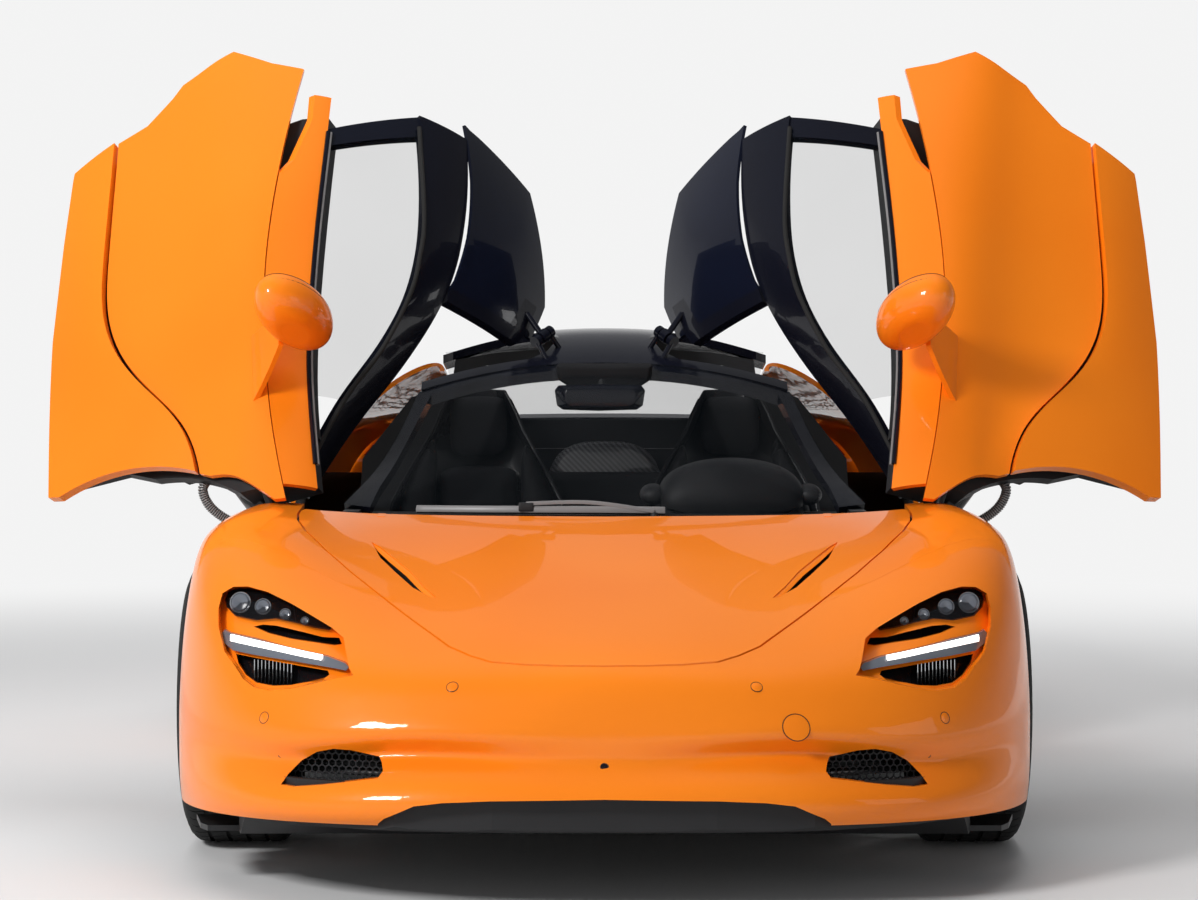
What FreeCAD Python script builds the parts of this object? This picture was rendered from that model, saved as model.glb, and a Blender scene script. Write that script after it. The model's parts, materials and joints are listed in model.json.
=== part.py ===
"""Mid-engined two-seat supercar with both dihedral doors raised, as separate panels and pieces with real joints.

Millimetres, +Z up, the nose points to -Y and the car's left side is +X. Everything is modelled with the front
axle at y = 0, and moved to the row frame when it is written: the origin is on the ground, midway along the car.
"""
import FreeCAD, Part
import math
import os

# Driving dimensions of the whole car
WHEELBASE = 2670.0
REAR_OVERHANG = 854.0
FRONT_OVERHANG = 1045.0
FRONT_TRACK = 1680.0
REAR_TRACK = 1629.0
LENGTH = FRONT_OVERHANG + WHEELBASE + REAR_OVERHANG
FRONT_AXLE_Y = FRONT_OVERHANG - LENGTH / 2

# Wheels: tyre radius and width, rim radius and the radius of the opening in the body
FRONT_WHEEL = dict(y=0.0, x=FRONT_TRACK / 2, radius=327.0, width=245.0, rim=247.0, arch=374.0, liner=391.0)
REAR_WHEEL = dict(y=WHEELBASE, x=REAR_TRACK / 2, radius=345.5, width=305.0, rim=260.0, arch=394.0, liner=400.0)
KINGPIN_X = FRONT_TRACK / 2 - 65.0
BALL_HEIGHT = 140.0

# Walls and gaps
SKIN = 14.0
ROOF_SKIN = 22.0
GLASS = 5.0
SHEET = 4.0
SHUT_GAP = 5.5
SLOT = 0.6
SEAT_GAP = 0.3

# The dihedral door turns about one slanted line, from a hinge on the roof to a hinge beside the screen's foot
DOOR_OPEN = 81.4
HINGE_ROOF = (163.0, 1053.0, 1172.0)
HINGE_FOOT = (792.0, 316.0, 720.0)
HINGE_PIN = 9.0
DOOR_FRONT_RADIUS = 516.0
DOOR_FRONT_Y = 330.0

# Cabin
FLOOR_Z = (112.0, 124.0)
FLOOR_FRONT = -600.0
CABIN_FRONT = 400.0
CABIN_BACK = 1560.0
SILL_TOP = 398.0
SILL_OUT = 826.0
SILL_IN = 640.0
SEAT_X = 345.0

# Pads under the floor for a jack
JACK_PAD = 40.0
JACK_PAD_Z = 100.0
JACK_X = 780.0
JACK_Y = (640.0, 2120.0)

TINY = 1e-6


def V(x, y, z):
    return FreeCAD.Vector(x, y, z)


def mix(a, b, t):
    return a + (b - a) * t


def station(y):
    """Place along the car of a station drawn for the car's first size, moved with its nose, rear axle and tail."""
    arch = REAR_WHEEL["arch"]
    drawn = (-1045.0, -520.0, 1660.0, 2276.0, 3064.0, 3524.0)
    present = (-FRONT_OVERHANG, -520.0, 1660.0, WHEELBASE - arch, WHEELBASE + arch, WHEELBASE + REAR_OVERHANG)
    k = max(i for i in range(len(drawn) - 1) if i == 0 or drawn[i] <= y)
    return mix(present[k], present[k + 1], (y - drawn[k]) / (drawn[k + 1] - drawn[k]))


def moved(ring):
    """Outline with the stations in its second column put in their present places."""
    return [(x, station(y)) for x, y in ring]


def along(table, y, column):
    """Smooth value of one column of a table of stations, whose first column is y."""
    ys = [row[0] for row in table]
    if y <= ys[0]:
        return table[0][column]
    if y >= ys[-1]:
        return table[-1][column]
    i = max(k for k in range(len(ys) - 1) if ys[k] <= y)
    v = [row[column] for row in table]

    def slope(k):
        low, high = max(k - 1, 0), min(k + 1, len(ys) - 1)
        return (v[high] - v[low]) / (ys[high] - ys[low])

    h = ys[i + 1] - ys[i]
    t = (y - ys[i]) / h
    start = v[i] * (2 * t**3 - 3 * t**2 + 1) + slope(i) * h * (t**3 - 2 * t**2 + t)
    end = v[i + 1] * (3 * t**2 - 2 * t**3) + slope(i + 1) * h * (t**3 - t**2)
    return start + end


def mirrored(shape):
    return shape.mirror(V(0, 0, 0), V(1, 0, 0))


def full_rows(rows):
    """Rows given from the middle of the car outwards, made whole with their mirror image."""
    return [[V(-p.x, p.y, p.z) for p in row[:0:-1]] + list(row) for row in rows]


def points(rows):
    """Net of points from a table of (x, station, z)."""
    return [[V(x, station(y), z) for x, y, z in row] for row in rows]


def sheet(rows):
    """Smooth surface drawn by a net of points, which it follows without swinging past them."""
    counts = (len(rows), len(rows[0]))
    degrees = [min(3, count - 1) for count in counts]
    spans = [count - degree for count, degree in zip(counts, degrees)]
    mults = [[d + 1] + [1] * (span - 1) + [d + 1] for d, span in zip(degrees, spans)]
    knots = [[float(k) for k in range(span + 1)] for span in spans]
    surface = Part.BSplineSurface()
    surface.buildFromPolesMultsKnots(rows, mults[0], mults[1], knots[0], knots[1], False, False, *degrees)
    return surface.toShape()


def pushed(rows, distance, core):
    """Rows moved off their own surface, away from the point core for a positive distance."""
    n, m = len(rows), len(rows[0])
    normals = []
    for i in range(n):
        for j in range(m):
            du = rows[min(i + 1, n - 1)][j] - rows[max(i - 1, 0)][j]
            dv = rows[i][min(j + 1, m - 1)] - rows[i][max(j - 1, 0)]
            normal = du.cross(dv)
            normal.normalize()
            normals.append(normal)
    flat = [point for row in rows for point in row]
    outwards = sum(normal.dot(point - core) for normal, point in zip(normals, flat))
    step = math.copysign(distance, distance * outwards)
    moved = [point + normal * step for normal, point in zip(normals, flat)]
    return [moved[i * m:(i + 1) * m] for i in range(n)]


def panel(rows, thickness, core):
    """Closed solid of a smooth skin through rows of points, with its wall on the side of the point core."""
    outside, inside = sheet(rows), sheet(pushed(rows, -thickness, core))
    sides = [Part.makeRuledSurface(a, b) for a, b in zip(outside.Edges, inside.Edges)]
    shell = Part.makeShell([outside, inside] + sides)
    shell.sewShape()
    solid = Part.makeSolid(shell)
    if solid.Volume < 0:
        solid.reverse()
    return solid


def outline(corners, axis, at):
    """Closed wire through 2D points in the plane across an axis, given in the order X, Y, Z without that axis."""
    place = {
        "x": lambda a, b: V(at, a, b),
        "y": lambda a, b: V(a, at, b),
        "z": lambda a, b: V(a, b, at),
    }[axis]
    ring = [place(a, b) for a, b in corners]
    return Part.makePolygon(ring + ring[:1])


def prism(corners, axis, low, high):
    """Straight block of a 2D outline between two places on an axis."""
    direction = {"x": V(1, 0, 0), "y": V(0, 1, 0), "z": V(0, 0, 1)}[axis]
    return Part.Face(outline(corners, axis, low)).extrude(direction * (high - low))


def block(x0, x1, y0, y1, z0, z1):
    return Part.makeBox(x1 - x0, y1 - y0, z1 - z0, V(x0, y0, z0))


def rod(a, b, radius):
    a, b = V(*a), V(*b)
    return Part.makeCylinder(radius, (b - a).Length, a, b - a)


def across(radius, x0, x1, y, z):
    """Cylinder lying across the car."""
    return Part.makeCylinder(radius, x1 - x0, V(x0, y, z), V(1, 0, 0))


def turned(profile, wheel):
    """Solid turned about a wheel's axle from points of (offset along the axle, radius)."""
    ring = [V(wheel["x"] + a, wheel["y"], wheel["radius"] + r) for a, r in profile]
    face = Part.Face(Part.makePolygon(ring + ring[:1]))
    return face.revolve(V(wheel["x"], wheel["y"], wheel["radius"]), V(1, 0, 0), 360)


def fused(shapes):
    shapes = list(shapes)
    whole = shapes[0]
    if len(shapes) > 1:
        whole = whole.multiFuse(shapes[1:])
    return whole.removeSplitter()


def less(shape, cutters):
    for cutter in cutters:
        shape = shape.cut(cutter)
    return shape


def biggest(shape):
    return max(shape.Solids, key=lambda s: s.Volume)


def grown(ring, by):
    """2D outline moved outwards by a distance. Points run anticlockwise."""
    out = []
    n = len(ring)
    for k in range(n):
        (ax, ay), (bx, by_), (cx, cy) = ring[k - 1], ring[k], ring[(k + 1) % n]
        first, second = math.hypot(bx - ax, by_ - ay), math.hypot(cx - bx, cy - by_)
        n1 = ((by_ - ay) / first, -(bx - ax) / first)
        n2 = ((cy - by_) / second, -(cx - bx) / second)
        scale = by / max(1 + n1[0] * n2[0] + n1[1] * n2[1], 0.3)
        out.append((bx + (n1[0] + n2[0]) * scale, by_ + (n1[1] + n2[1]) * scale))
    return out


def both_sides(half):
    """Outline in plan made whole, given anticlockwise for x >= 0 from the middle round to the middle."""
    return list(half) + [(-x, y) for x, y in reversed(half) if abs(x) > TINY]


# Front clip. Rows run from the lip back to the screen's foot, and the columns are the middle of the car,
# the quarter, the lid's edge, the inner lamp, the crest, the shoulder, the wheel arch's lip and its inside.
FRONT_CLIP = [
    [(0, -1012, 180), (230, -1009, 180), (450, -985, 180), (680, -868, 172), (840, -690, 164), (915, -520, 158), (943, -400, 157), (948, -250, 156)],
    [(0, -1062, 222), (230, -1056, 222), (455, -1030, 212), (692, -902, 200), (850, -708, 198), (922, -522, 200), (947, -400, 205), (952, -250, 205)],
    [(0, -1010, 268), (230, -1006, 288), (450, -978, 290), (680, -868, 247), (846, -696, 250), (921, -516, 255), (948, -398, 258), (953, -250, 250)],
    [(0, -982, 302), (230, -932, 314), (450, -872, 320), (662, -808, 285), (836, -678, 300), (920, -506, 305), (949, -394, 310), (954, -250, 290)],
    [(0, -970, 346), (230, -986, 354), (450, -952, 358), (672, -858, 320), (843, -682, 345), (921, -503, 345), (950, -384, 346), (955, -246, 315)],
    [(0, -960, 400), (230, -950, 402), (450, -906, 408), (664, -818, 405), (838, -664, 412), (920, -490, 412), (950, -366, 412), (956, -232, 350)],
    [(0, -940, 462), (230, -926, 462), (450, -872, 468), (652, -780, 478), (828, -632, 492), (914, -464, 495), (950, -338, 484), (958, -205, 385)],
    [(0, -880, 515), (220, -850, 516), (430, -770, 524), (640, -690, 548), (812, -560, 580), (908, -430, 590), (950, -300, 551), (958, -170, 410)],
    [(0, -640, 578), (210, -630, 578), (420, -570, 584), (628, -515, 632), (796, -430, 678), (906, -330, 668), (950, -240, 614), (958, -120, 430)],
    [(0, -350, 645), (240, -345, 646), (480, -310, 653), (655, -270, 702), (812, -200, 752), (912, -170, 726), (951, -120, 681), (959, -60, 450)],
    [(0, -40, 706), (280, -40, 707), (560, -20, 714), (705, 10, 748), (826, 50, 784), (914, 60, 756), (952, 70, 695), (960, 60, 455)],
    [(0, 215, 748), (320, 225, 749), (625, 235, 753), (755, 240, 768), (840, 245, 778), (902, 260, 736), (950, 270, 586), (955, 330, 360)],
    [(0, 400, 765), (330, 410, 766), (660, 400, 768), (775, 400, 778), (850, 400, 775), (893, 430, 712), (935, 470, 520), (946, 520, 150)],
]
CLIP_CORE = V(0, 150, 250)

# Outlines in plan: the luggage lid, from its front middle to its back middle, and the joint of bumper and fender
LID_EDGE = [
    (0, -882), (90, -878), (163, -868), (235, -849), (279, -818), (324, -772), (433, -589), (559, -377), (625, -248),
    (686, -95), (713, 20), (722, 120), (723, 200), (715, 228), (640, 236), (300, 222), (0, 214),
]
HOOD_VENT = [(379, -495), (422, -434), (465, -337), (507, -231), (537, -92), (514, -133), (474, -227), (433, -321), (397, -425), (367, -495)]
LID_BACK = 236.0
LID_HINGE_Y = 232.0
LID_HINGE_Z = 728.0
FENDER_JOINT = [(350, -640), (600, -440), (790, -275), (1000, -120)]
COWL_X = 728.0
COWL_DROP = 36.0
COWL_FRONT = 250.0
LID_PIN_X = (522.0, 556.0)
LID_PIN = 5.0

# Openings seen from the front, as x and z
LAMP_HOLE = [
    (524, 472), (576, 461), (613, 451), (658, 440), (702, 433), (741, 436), (767, 450), (788, 473), (816, 499), (837, 548),
    (842, 585), (837, 615), (813, 629), (780, 631), (734, 622), (678, 601), (631, 580), (581, 557), (553, 539), (534, 484),
]
LAMP_LENS = [
    (589, 548), (626, 553), (665, 561), (710, 568), (754, 563), (804, 569), (827, 585), (834, 599), (830, 614), (813, 622),
    (780, 624), (734, 616), (678, 596), (631, 576), (585, 555),
]
LAMP_SLOT = [(559, 522), (576, 520), (622, 525), (673, 530), (724, 539), (759, 550), (738, 555), (707, 554), (649, 544), (603, 535), (567, 534)]
LIGHT_BAR = [(537, 484), (542, 477), (579, 482), (667, 491), (746, 497), (800, 502), (824, 515), (831, 533), (825, 541), (810, 536), (748, 529), (671, 515), (585, 502), (545, 491)]
LAMP_INTAKE = [(594, 455), (637, 448), (662, 442), (702, 438), (741, 441), (766, 454), (786, 475), (794, 494), (745, 490), (667, 483), (583, 474), (579, 467)]
LAMP_FLOOR = 30.0
LAMP_DEPTH = 52.0
FIN_PITCH = 8.5
LAMP_FIN_X = 662.0
LAMP_FINS = 11
SIDE_INTAKE = [
    (455, 286), (465, 273), (499, 268), (584, 254), (643, 246), (673, 247), (659, 267), (632, 294), (598, 315), (561, 324),
    (525, 322), (490, 315), (465, 311), (459, 300),
]
BLADE_RING = [(0, -1006), (230, -1003), (430, -976), (640, -868), (760, -748), (790, -590)]
LIP_NOTCH = [(464, 100), (464, 182), (450, 195), (388, 224), (329, 232), (232, 237), (0, 241)]


def clip_rows():
    return full_rows(points(FRONT_CLIP))


def wheel_hole(wheel, radius, inner_x):
    hole = across(radius, inner_x, 1200, wheel["y"], wheel["radius"])
    return fused([hole, mirrored(hole)])


def two(shape):
    return fused([shape, mirrored(shape)])


def fender_keep():
    """What lies ahead of the door: inside the disc round the wheel, and the corner above it."""
    radius = DOOR_FRONT_RADIUS - SHUT_GAP
    disc = across(radius, -1200, 1200, 0, FRONT_WHEEL["radius"])
    return fused([disc, block(-1200, 1200, -1300, DOOR_FRONT_Y - SHUT_GAP, 0, 1100)])


def screen_foot(x, reach=646.0):
    """Where the screen meets the cowl in plan, at a distance from the middle of the car."""
    return mix(262, 496, (min(abs(x), reach) / reach) ** 2.3)


def cowl(frame):
    """Black tray below the screen, set lower than the lid, with the brackets of the lid's hinges."""
    rows = pushed(clip_rows()[-3:], -COWL_DROP, CLIP_CORE)
    tray = panel(rows, 10, CLIP_CORE)
    spots = [-COWL_X + 2, -646, -560, -460, -340, -200, 0, 200, 340, 460, 560, 646, COWL_X - 2]
    ring = [(-COWL_X + 2, COWL_FRONT), (COWL_X - 2, COWL_FRONT)] + [(x, screen_foot(x) + 14) for x in reversed(spots)]
    tray = biggest(tray.common(prism(ring, "z", 600, 900)))
    brackets = []
    for side in (-1, 1):
        low, high = sorted((side * (LID_PIN_X[1] - 8), side * LID_PIN_X[1]))
        foot = block(low, high, LID_HINGE_Y - 8, COWL_FRONT + 20, 690, 712)
        post = block(low, high, LID_HINGE_Y - 8, LID_HINGE_Y + 8, 690, LID_HINGE_Z + 5)
        pin_low = min(side * LID_PIN_X[0], side * LID_PIN_X[1])
        pin = across(LID_PIN, pin_low, pin_low + LID_PIN_X[1] - LID_PIN_X[0], LID_HINGE_Y, LID_HINGE_Z)
        brackets += [foot, post, pin]
    return biggest(less(fused([tray] + brackets), frame))


def lid_eyes():
    """Hinge eyes under the back edge of the lid."""
    eyes = []
    for side in (-1, 1):
        low, high = sorted((side * (LID_PIN_X[0] + 2), side * (LID_PIN_X[1] - 13)))
        eye = across(LID_PIN + 7, low, high, LID_HINGE_Y, LID_HINGE_Z)
        web = block(low, high, LID_HINGE_Y - 40, LID_HINGE_Y, LID_HINGE_Z - 4, LID_HINGE_Z + 40)
        bore = across(LID_PIN + SEAT_GAP, low - 1, high + 1, LID_HINGE_Y, LID_HINGE_Z)
        eyes.append(fused([eye, web]).cut(bore))
    return eyes


def front_panels():
    """The luggage lid, its vent trays, the bumper and the fender, cut from one smooth skin."""
    skin = panel(clip_rows(), SKIN, CLIP_CORE)
    skin = skin.cut(wheel_hole(FRONT_WHEEL, FRONT_WHEEL["arch"], 500))
    edge = both_sides(moved(LID_EDGE))
    lid = biggest(skin.common(prism(edge, "z", 480, 1000)))
    above = panel(pushed(clip_rows(), 80, CLIP_CORE), 79, CLIP_CORE)
    vent = prism(moved(HOOD_VENT), "z", 480, 1000)
    lid = fused([lid] + [eye.cut(above) for eye in lid_eyes()]).cut(two(vent))
    tray = panel(pushed(clip_rows(), -SKIN, CLIP_CORE), 16, CLIP_CORE)
    hollow = panel(pushed(clip_rows(), -SKIN + 1, CLIP_CORE), 14, CLIP_CORE).common(prism(grown(moved(HOOD_VENT), 4), "z", 480, 1000))
    tray = tray.common(prism(grown(moved(HOOD_VENT), 9), "z", 480, 1000)).cut(hollow)
    rest = skin.cut(prism(grown(edge, SHUT_GAP), "z", 470, 1000))
    half_slot = SLOT / 2
    joint = moved(FENDER_JOINT)
    nose = [(-1100, -1300), (1100, -1300)] + [(x, y - half_slot) for x, y in reversed(joint)]
    nose += [(-x, y - half_slot) for x, y in joint]
    bumper = rest.common(prism(nose, "z", 0, 1000))
    notch = prism(both_sides(LIP_NOTCH), "y", -1300, station(-900))
    bumper = less(bumper, [two(prism(LAMP_HOLE, "y", -1100, -300)), two(prism(SIDE_INTAKE, "y", -1300, -600)), notch])
    side = [(x, y + half_slot) for x, y in joint] + [(1000, 700), (COWL_X, 700), (COWL_X, 190), (300, -500)]
    fender = rest.common(prism(side, "z", 0, 1000)).common(fender_keep())
    notch = block(772, 838, 294, 360, 690, 820)
    fender = less(fender, [prism(LAMP_HOLE, "y", -1100, -300), notch])
    return biggest(lid), biggest(tray), biggest(bumper), biggest(fender), above


def lamp_layer(ring, top, bottom, gap):
    """Layer of the front's own curve between two depths, inside an outline seen from the front."""
    layer = panel(pushed(clip_rows(), -top, CLIP_CORE), bottom - top, CLIP_CORE)
    return biggest(layer.common(prism(grown(ring, gap), "y", -1100, -300)))


def headlamp(bumper, fender):
    """Eye-shaped socket in body colour with its four pockets, the dark lamp behind it, and the light bar."""
    holes = [prism(ring, "y", -1100, -300) for ring in (LAMP_LENS, LAMP_SLOT, LIGHT_BAR, LAMP_INTAKE)]
    bowl = less(lamp_layer(LAMP_HOLE, LAMP_FLOOR, LAMP_FLOOR + 8, -SEAT_GAP), holes)
    collar = lamp_layer(LAMP_HOLE, SKIN, LAMP_DEPTH + 8, 10)
    collar = biggest(collar.cut(prism(grown(LAMP_HOLE, -SEAT_GAP), "y", -1100, -300)))
    socket = biggest(less(fused([bowl, collar]), [bumper, fender]))
    core = [lamp_layer(LAMP_HOLE, LAMP_DEPTH, LAMP_DEPTH + 8, -2 * SEAT_GAP)]
    core.append(lamp_layer(LAMP_LENS, LAMP_FLOOR - 8, LAMP_DEPTH + 2, -SEAT_GAP))
    intake = lamp_layer(LAMP_INTAKE, LAMP_FLOOR + 4, LAMP_DEPTH + 2, -SEAT_GAP)
    for k in range(LAMP_FINS):
        x = LAMP_FIN_X + FIN_PITCH * k
        core.append(biggest(intake.common(block(x - 1, x + 1, -1100, -300, 400, 520))))
    bar = lamp_layer(LIGHT_BAR, LAMP_FLOOR - 12, LAMP_DEPTH, -SEAT_GAP)
    return socket, biggest(fused(core)), biggest(bar.cut(socket))


def splitter(bumper, above):
    """Blade that rises from the floor to the nose behind the lip, and the wall on it that carries the bumper."""
    plan = both_sides(moved(BLADE_RING))
    front, knee, back = station(-1010), station(-750), station(FLOOR_FRONT)
    low, high = FLOOR_Z
    profile = [(front, 168), (front, 182), (knee, 178), (back, high), (back, low), (back - 40, low), (knee, 164)]
    blade = prism(plan, "z", 90, 200).common(prism(profile, "x", -1000, 1000))
    wall = prism(plan, "z", 110, 262)
    wall = wall.cut(prism([(x * 0.985, y + 13) for x, y in plan], "z", 100, 300))
    wall = wall.cut(prism([(front, 0), (front, 173), (knee, 169), (back, 114), (back, 0)], "x", -1000, 1000))
    wall = wall.cut(block(-1200, 1200, back, 0, 0, 400))
    return biggest(less(fused([blade, wall]), [bumper, above]))


# Side of the body along y: x and z of the leaf's top, the shoulder, the hollow, the lower hollow and the
# character line, and of the blade's top, bulge and foot
LEAF_TOP = [(300, 866, 792), (490, 880, 764), (700, 887, 751), (1000, 885, 752), (1290, 866, 786), (1532, 836, 826), (1660, 812, 852)]
LEAF_SHOULDER = [(390, 900, 705), (700, 908, 695), (1100, 909, 690), (1500, 906, 688), (1735, 902, 680)]
LEAF_HOLLOW = [(430, 899, 655), (600, 892, 625), (900, 886, 590), (1200, 888, 580), (1500, 897, 585), (1705, 900, 600)]
LEAF_LOWER = [(440, 897, 610), (600, 892, 588), (750, 895, 480), (1000, 905, 420), (1300, 912, 440), (1660, 908, 500)]
CHARACTER = [(445, 898, 568), (560, 902, 570), (683, 912, 474), (790, 922, 388), (900, 930, 332), (1000, 932, 313), (1250, 934, 330), (1540, 934, 355)]
BLADE_TOP = [(445, 910, 562), (560, 918, 566), (683, 930, 468), (790, 940, 382), (900, 946, 326), (1000, 948, 307), (1250, 948, 324), (1540, 945, 349)]
BLADE_BULGE = [(440, 945, 330), (700, 951, 290), (1000, 955, 262), (1300, 953, 265), (1520, 950, 285)]
BLADE_FOOT = [(440, 938, 152), (700, 938, 150), (1000, 938, 158), (1300, 940, 186), (1490, 944, 228)]
DOOR_CORE = V(0, 1000, 450)

# Belt under the side glass, and the two edges of the rail over it
BELT = [(330, 800, 838), (530, 806, 828), (745, 806, 824), (1090, 792, 846), (1540, 765, 892), (1660, 755, 902)]
RAIL_IN = [(440, 672, 742), (500, 652, 764), (680, 582, 842), (826, 530, 936), (980, 494, 1030), (1090, 471, 1074), (1220, 455, 1104), (1400, 445, 1126), (1590, 445, 1124)]
RAIL_OUT = [(440, 768, 792), (500, 742, 800), (680, 690, 868), (826, 640, 952), (980, 610, 1022), (1090, 602, 1052), (1220, 598, 1070), (1400, 600, 1076), (1590, 603, 1066)]

# Outline of the closed door seen from the side, as y and z
DOOR_SIDE = [
    (510, 140), (750, 140), (950, 155), (1260, 190), (1470, 220), (1523, 352), (1557, 432), (1625, 505), (1659, 534),
    (1722, 680), (1669, 774), (1645, 845), (1600, 892), (1560, 912), (1545, 1066), (1545, 1160), (1000, 1160), (330, 850),
    (330, 700),
]
DOOR_RIBS = (640.0, 960.0, 1280.0)
STRIP_CHANNEL = [(930, 1305), (856, 1305), (835, 1348), (802, 1485), (796, 1600), (930, 1600)]
WINDOW_POST = ((1411.0, 1466.0), (1475.0, 1540.0))

# Roof: height along the middle, and how far it falls towards the sides
ROOF_LINE = [(956, 1093), (985, 1110), (1050, 1138), (1100, 1155), (1170, 1174), (1250, 1188), (1350, 1196), (1500, 1193), (1620, 1181), (1740, 1162)]
ROOF_DROP = (117.0, 600.0, 2.2)
ROOF_GLASS = [(120, 1170), (152, 1060), (196, 1020), (620, 1020), (620, 1596), (440, 1596), (424, 1586), (392, 1577), (188, 1503)]
ROOF_BAR = (1026.0, 1062.0)
ROOF_BAR_RING = [(206, 1026), (500, 1026), (500, 1062), (252, 1062), (216, 1152), (162, 1152), (182, 1070)]


def station_rows(lines, ranges, count):
    """Rows of points across the given lines, each line a table of stations with its own range of y."""
    rows = []
    for k in range(count):
        spots = [mix(low, high, k / (count - 1)) for low, high in ranges]
        rows.append([V(along(t, y, 1), y, along(t, y, 2)) for t, y in zip(lines, spots)])
    return rows


def roof_point(x, y):
    fall, reach, power = ROOF_DROP
    return V(x, y, along(ROOF_LINE, y, 1) - fall * (abs(x) / reach) ** power)


def roof_rows():
    return [[roof_point(x, y) for x in (-480, -400, -300, -200, -100, 0, 100, 200, 300, 400, 480)] for y in (956, 985, 1050, 1120, 1200, 1300, 1400, 1500, 1600, 1740)]


def ahead_of_door(gap):
    """What the door's front edge leaves free, grown by a gap."""
    disc = across(DOOR_FRONT_RADIUS + gap, 600, 1200, 0, FRONT_WHEEL["radius"])
    return fused([disc, block(600, 1200, -100, DOOR_FRONT_Y + gap, 300, 1000)])


def door_skin():
    leaf_ranges = [(300, 1665), (390, 1745), (430, 1715), (440, 1665), (445, 1570)]
    leaf = panel(station_rows([LEAF_TOP, LEAF_SHOULDER, LEAF_HOLLOW, LEAF_LOWER, CHARACTER], leaf_ranges, 9), SKIN, DOOR_CORE)
    blade_ranges = [(445, 1560), (440, 1530), (440, 1500)]
    blade = panel(station_rows([BLADE_TOP, BLADE_BULGE, BLADE_FOOT], blade_ranges, 9), SKIN + 10, DOOR_CORE)
    ahead, side = ahead_of_door(0), prism(DOOR_SIDE, "x", 600, 1300)
    leaf = biggest(leaf.common(side).cut(ahead))
    blade = biggest(blade.common(side).cut(ahead).cut(leaf))
    return leaf, blade


def inner_section(y, middle_x, inside_x):
    """Section across the door's inner wall, from the belt down outside it, round the foot and up inside."""
    bx, bz = along(BELT, y, 1), along(BELT, y, 2)
    foot_z = along(BLADE_FOOT, y, 2) + 22
    ring = [
        (bx, bz), (mix(bx, middle_x, 0.75), bz - 60), (middle_x, 600), (902, 300), (902, foot_z),
        (872, foot_z), (842, 416), (inside_x + 24, 440), (inside_x, 700), (bx - 62, bz - 6),
    ]
    return Part.makePolygon([V(x, y, z) for x, z in ring + ring[:1]])


def nose_section(y, low, inside_x):
    bx, bz = along(BELT, y, 1), along(BELT, y, 2)
    knee = max(low + 12, 430)
    ring = [(bx, bz), (850, bz - 60), (868, 690), (874, low), (846, low), (846, knee), (inside_x, knee + 20), (inside_x, 700), (bx - 44, bz - 5)]
    return Part.makePolygon([V(x, y, z) for x, z in ring + ring[:1]])


def door_inner(skin):
    """Inner wall of the door, from the belt down inside the skin, with the air channel open at its back."""
    stations = [(545, 850, 720), (760, 846, 700), (1000, 838, 690), (1250, 822, 690), (1500, 806, 700)]
    body = Part.makeLoft([inner_section(*s) for s in stations], True, False)
    front = Part.makeLoft([nose_section(NOSE_Y, 640, 770), nose_section(600, 240, 740)], True, True)
    front = front.cut(across(DOOR_FRONT_RADIUS - 6, 600, 1200, 0, FRONT_WHEEL["radius"]))
    ribs = [block(836, 884, y, y + 30, 300, 690) for y in DOOR_RIBS]
    ribs += [block(890, 932, y, y + 30, 200, 290) for y in DOOR_RIBS]
    eye = hinge_eye(HINGE_FOOT, (850, 396, 716), 9)
    whole = fused([body, front, eye] + ribs)
    return biggest(less(whole, skin))


def door_shoulder(others):
    """Painted strip between the leaf's top edge and the belt, open at its back where the air goes in."""
    rows = []
    for k in range(10):
        y = mix(372, 1562, k / 9)
        belt = V(along(BELT, y, 1) + 1, y, along(BELT, y, 2) + 4)
        edge = V(along(LEAF_TOP, y, 1) - 4, y, along(LEAF_TOP, y, 2) + 2)
        rows.append([belt, belt * 0.6 + edge * 0.4 + V(4, 0, 5), edge])
    strip = panel(rows, 12, DOOR_CORE).cut(prism(STRIP_CHANNEL, "z", 600, 1000))
    return biggest(less(strip.cut(ahead_of_door(0)), others))


def hinge_point(base, shift):
    """Point on the door's hinge line, at a distance along it from a base point on it."""
    direction = V(*HINGE_FOOT) - V(*HINGE_ROOF)
    direction.normalize()
    return V(*base) + direction * shift


def hinge_eye(base, target, arm):
    """Eye round the hinge pin with an arm that reaches into the door."""
    eye = rod(hinge_point(base, -13), hinge_point(base, 13), HINGE_PIN + 9)
    bore = rod(hinge_point(base, -40), hinge_point(base, 40), HINGE_PIN + SEAT_GAP)
    return fused([eye, rod(base, target, arm)]).cut(bore)


def hinge_bracket(base, feet, arm):
    """Pin held at both ends by lugs on arms from the body."""
    pieces = [rod(hinge_point(base, -35), hinge_point(base, 35), HINGE_PIN)]
    for sign, foot in zip((-1, 1), feet):
        pieces.append(rod(hinge_point(base, sign * 19), hinge_point(base, sign * 35), HINGE_PIN + 7))
        pieces.append(rod(hinge_point(base, sign * 27), foot, arm))
    return fused(pieces)


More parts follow.
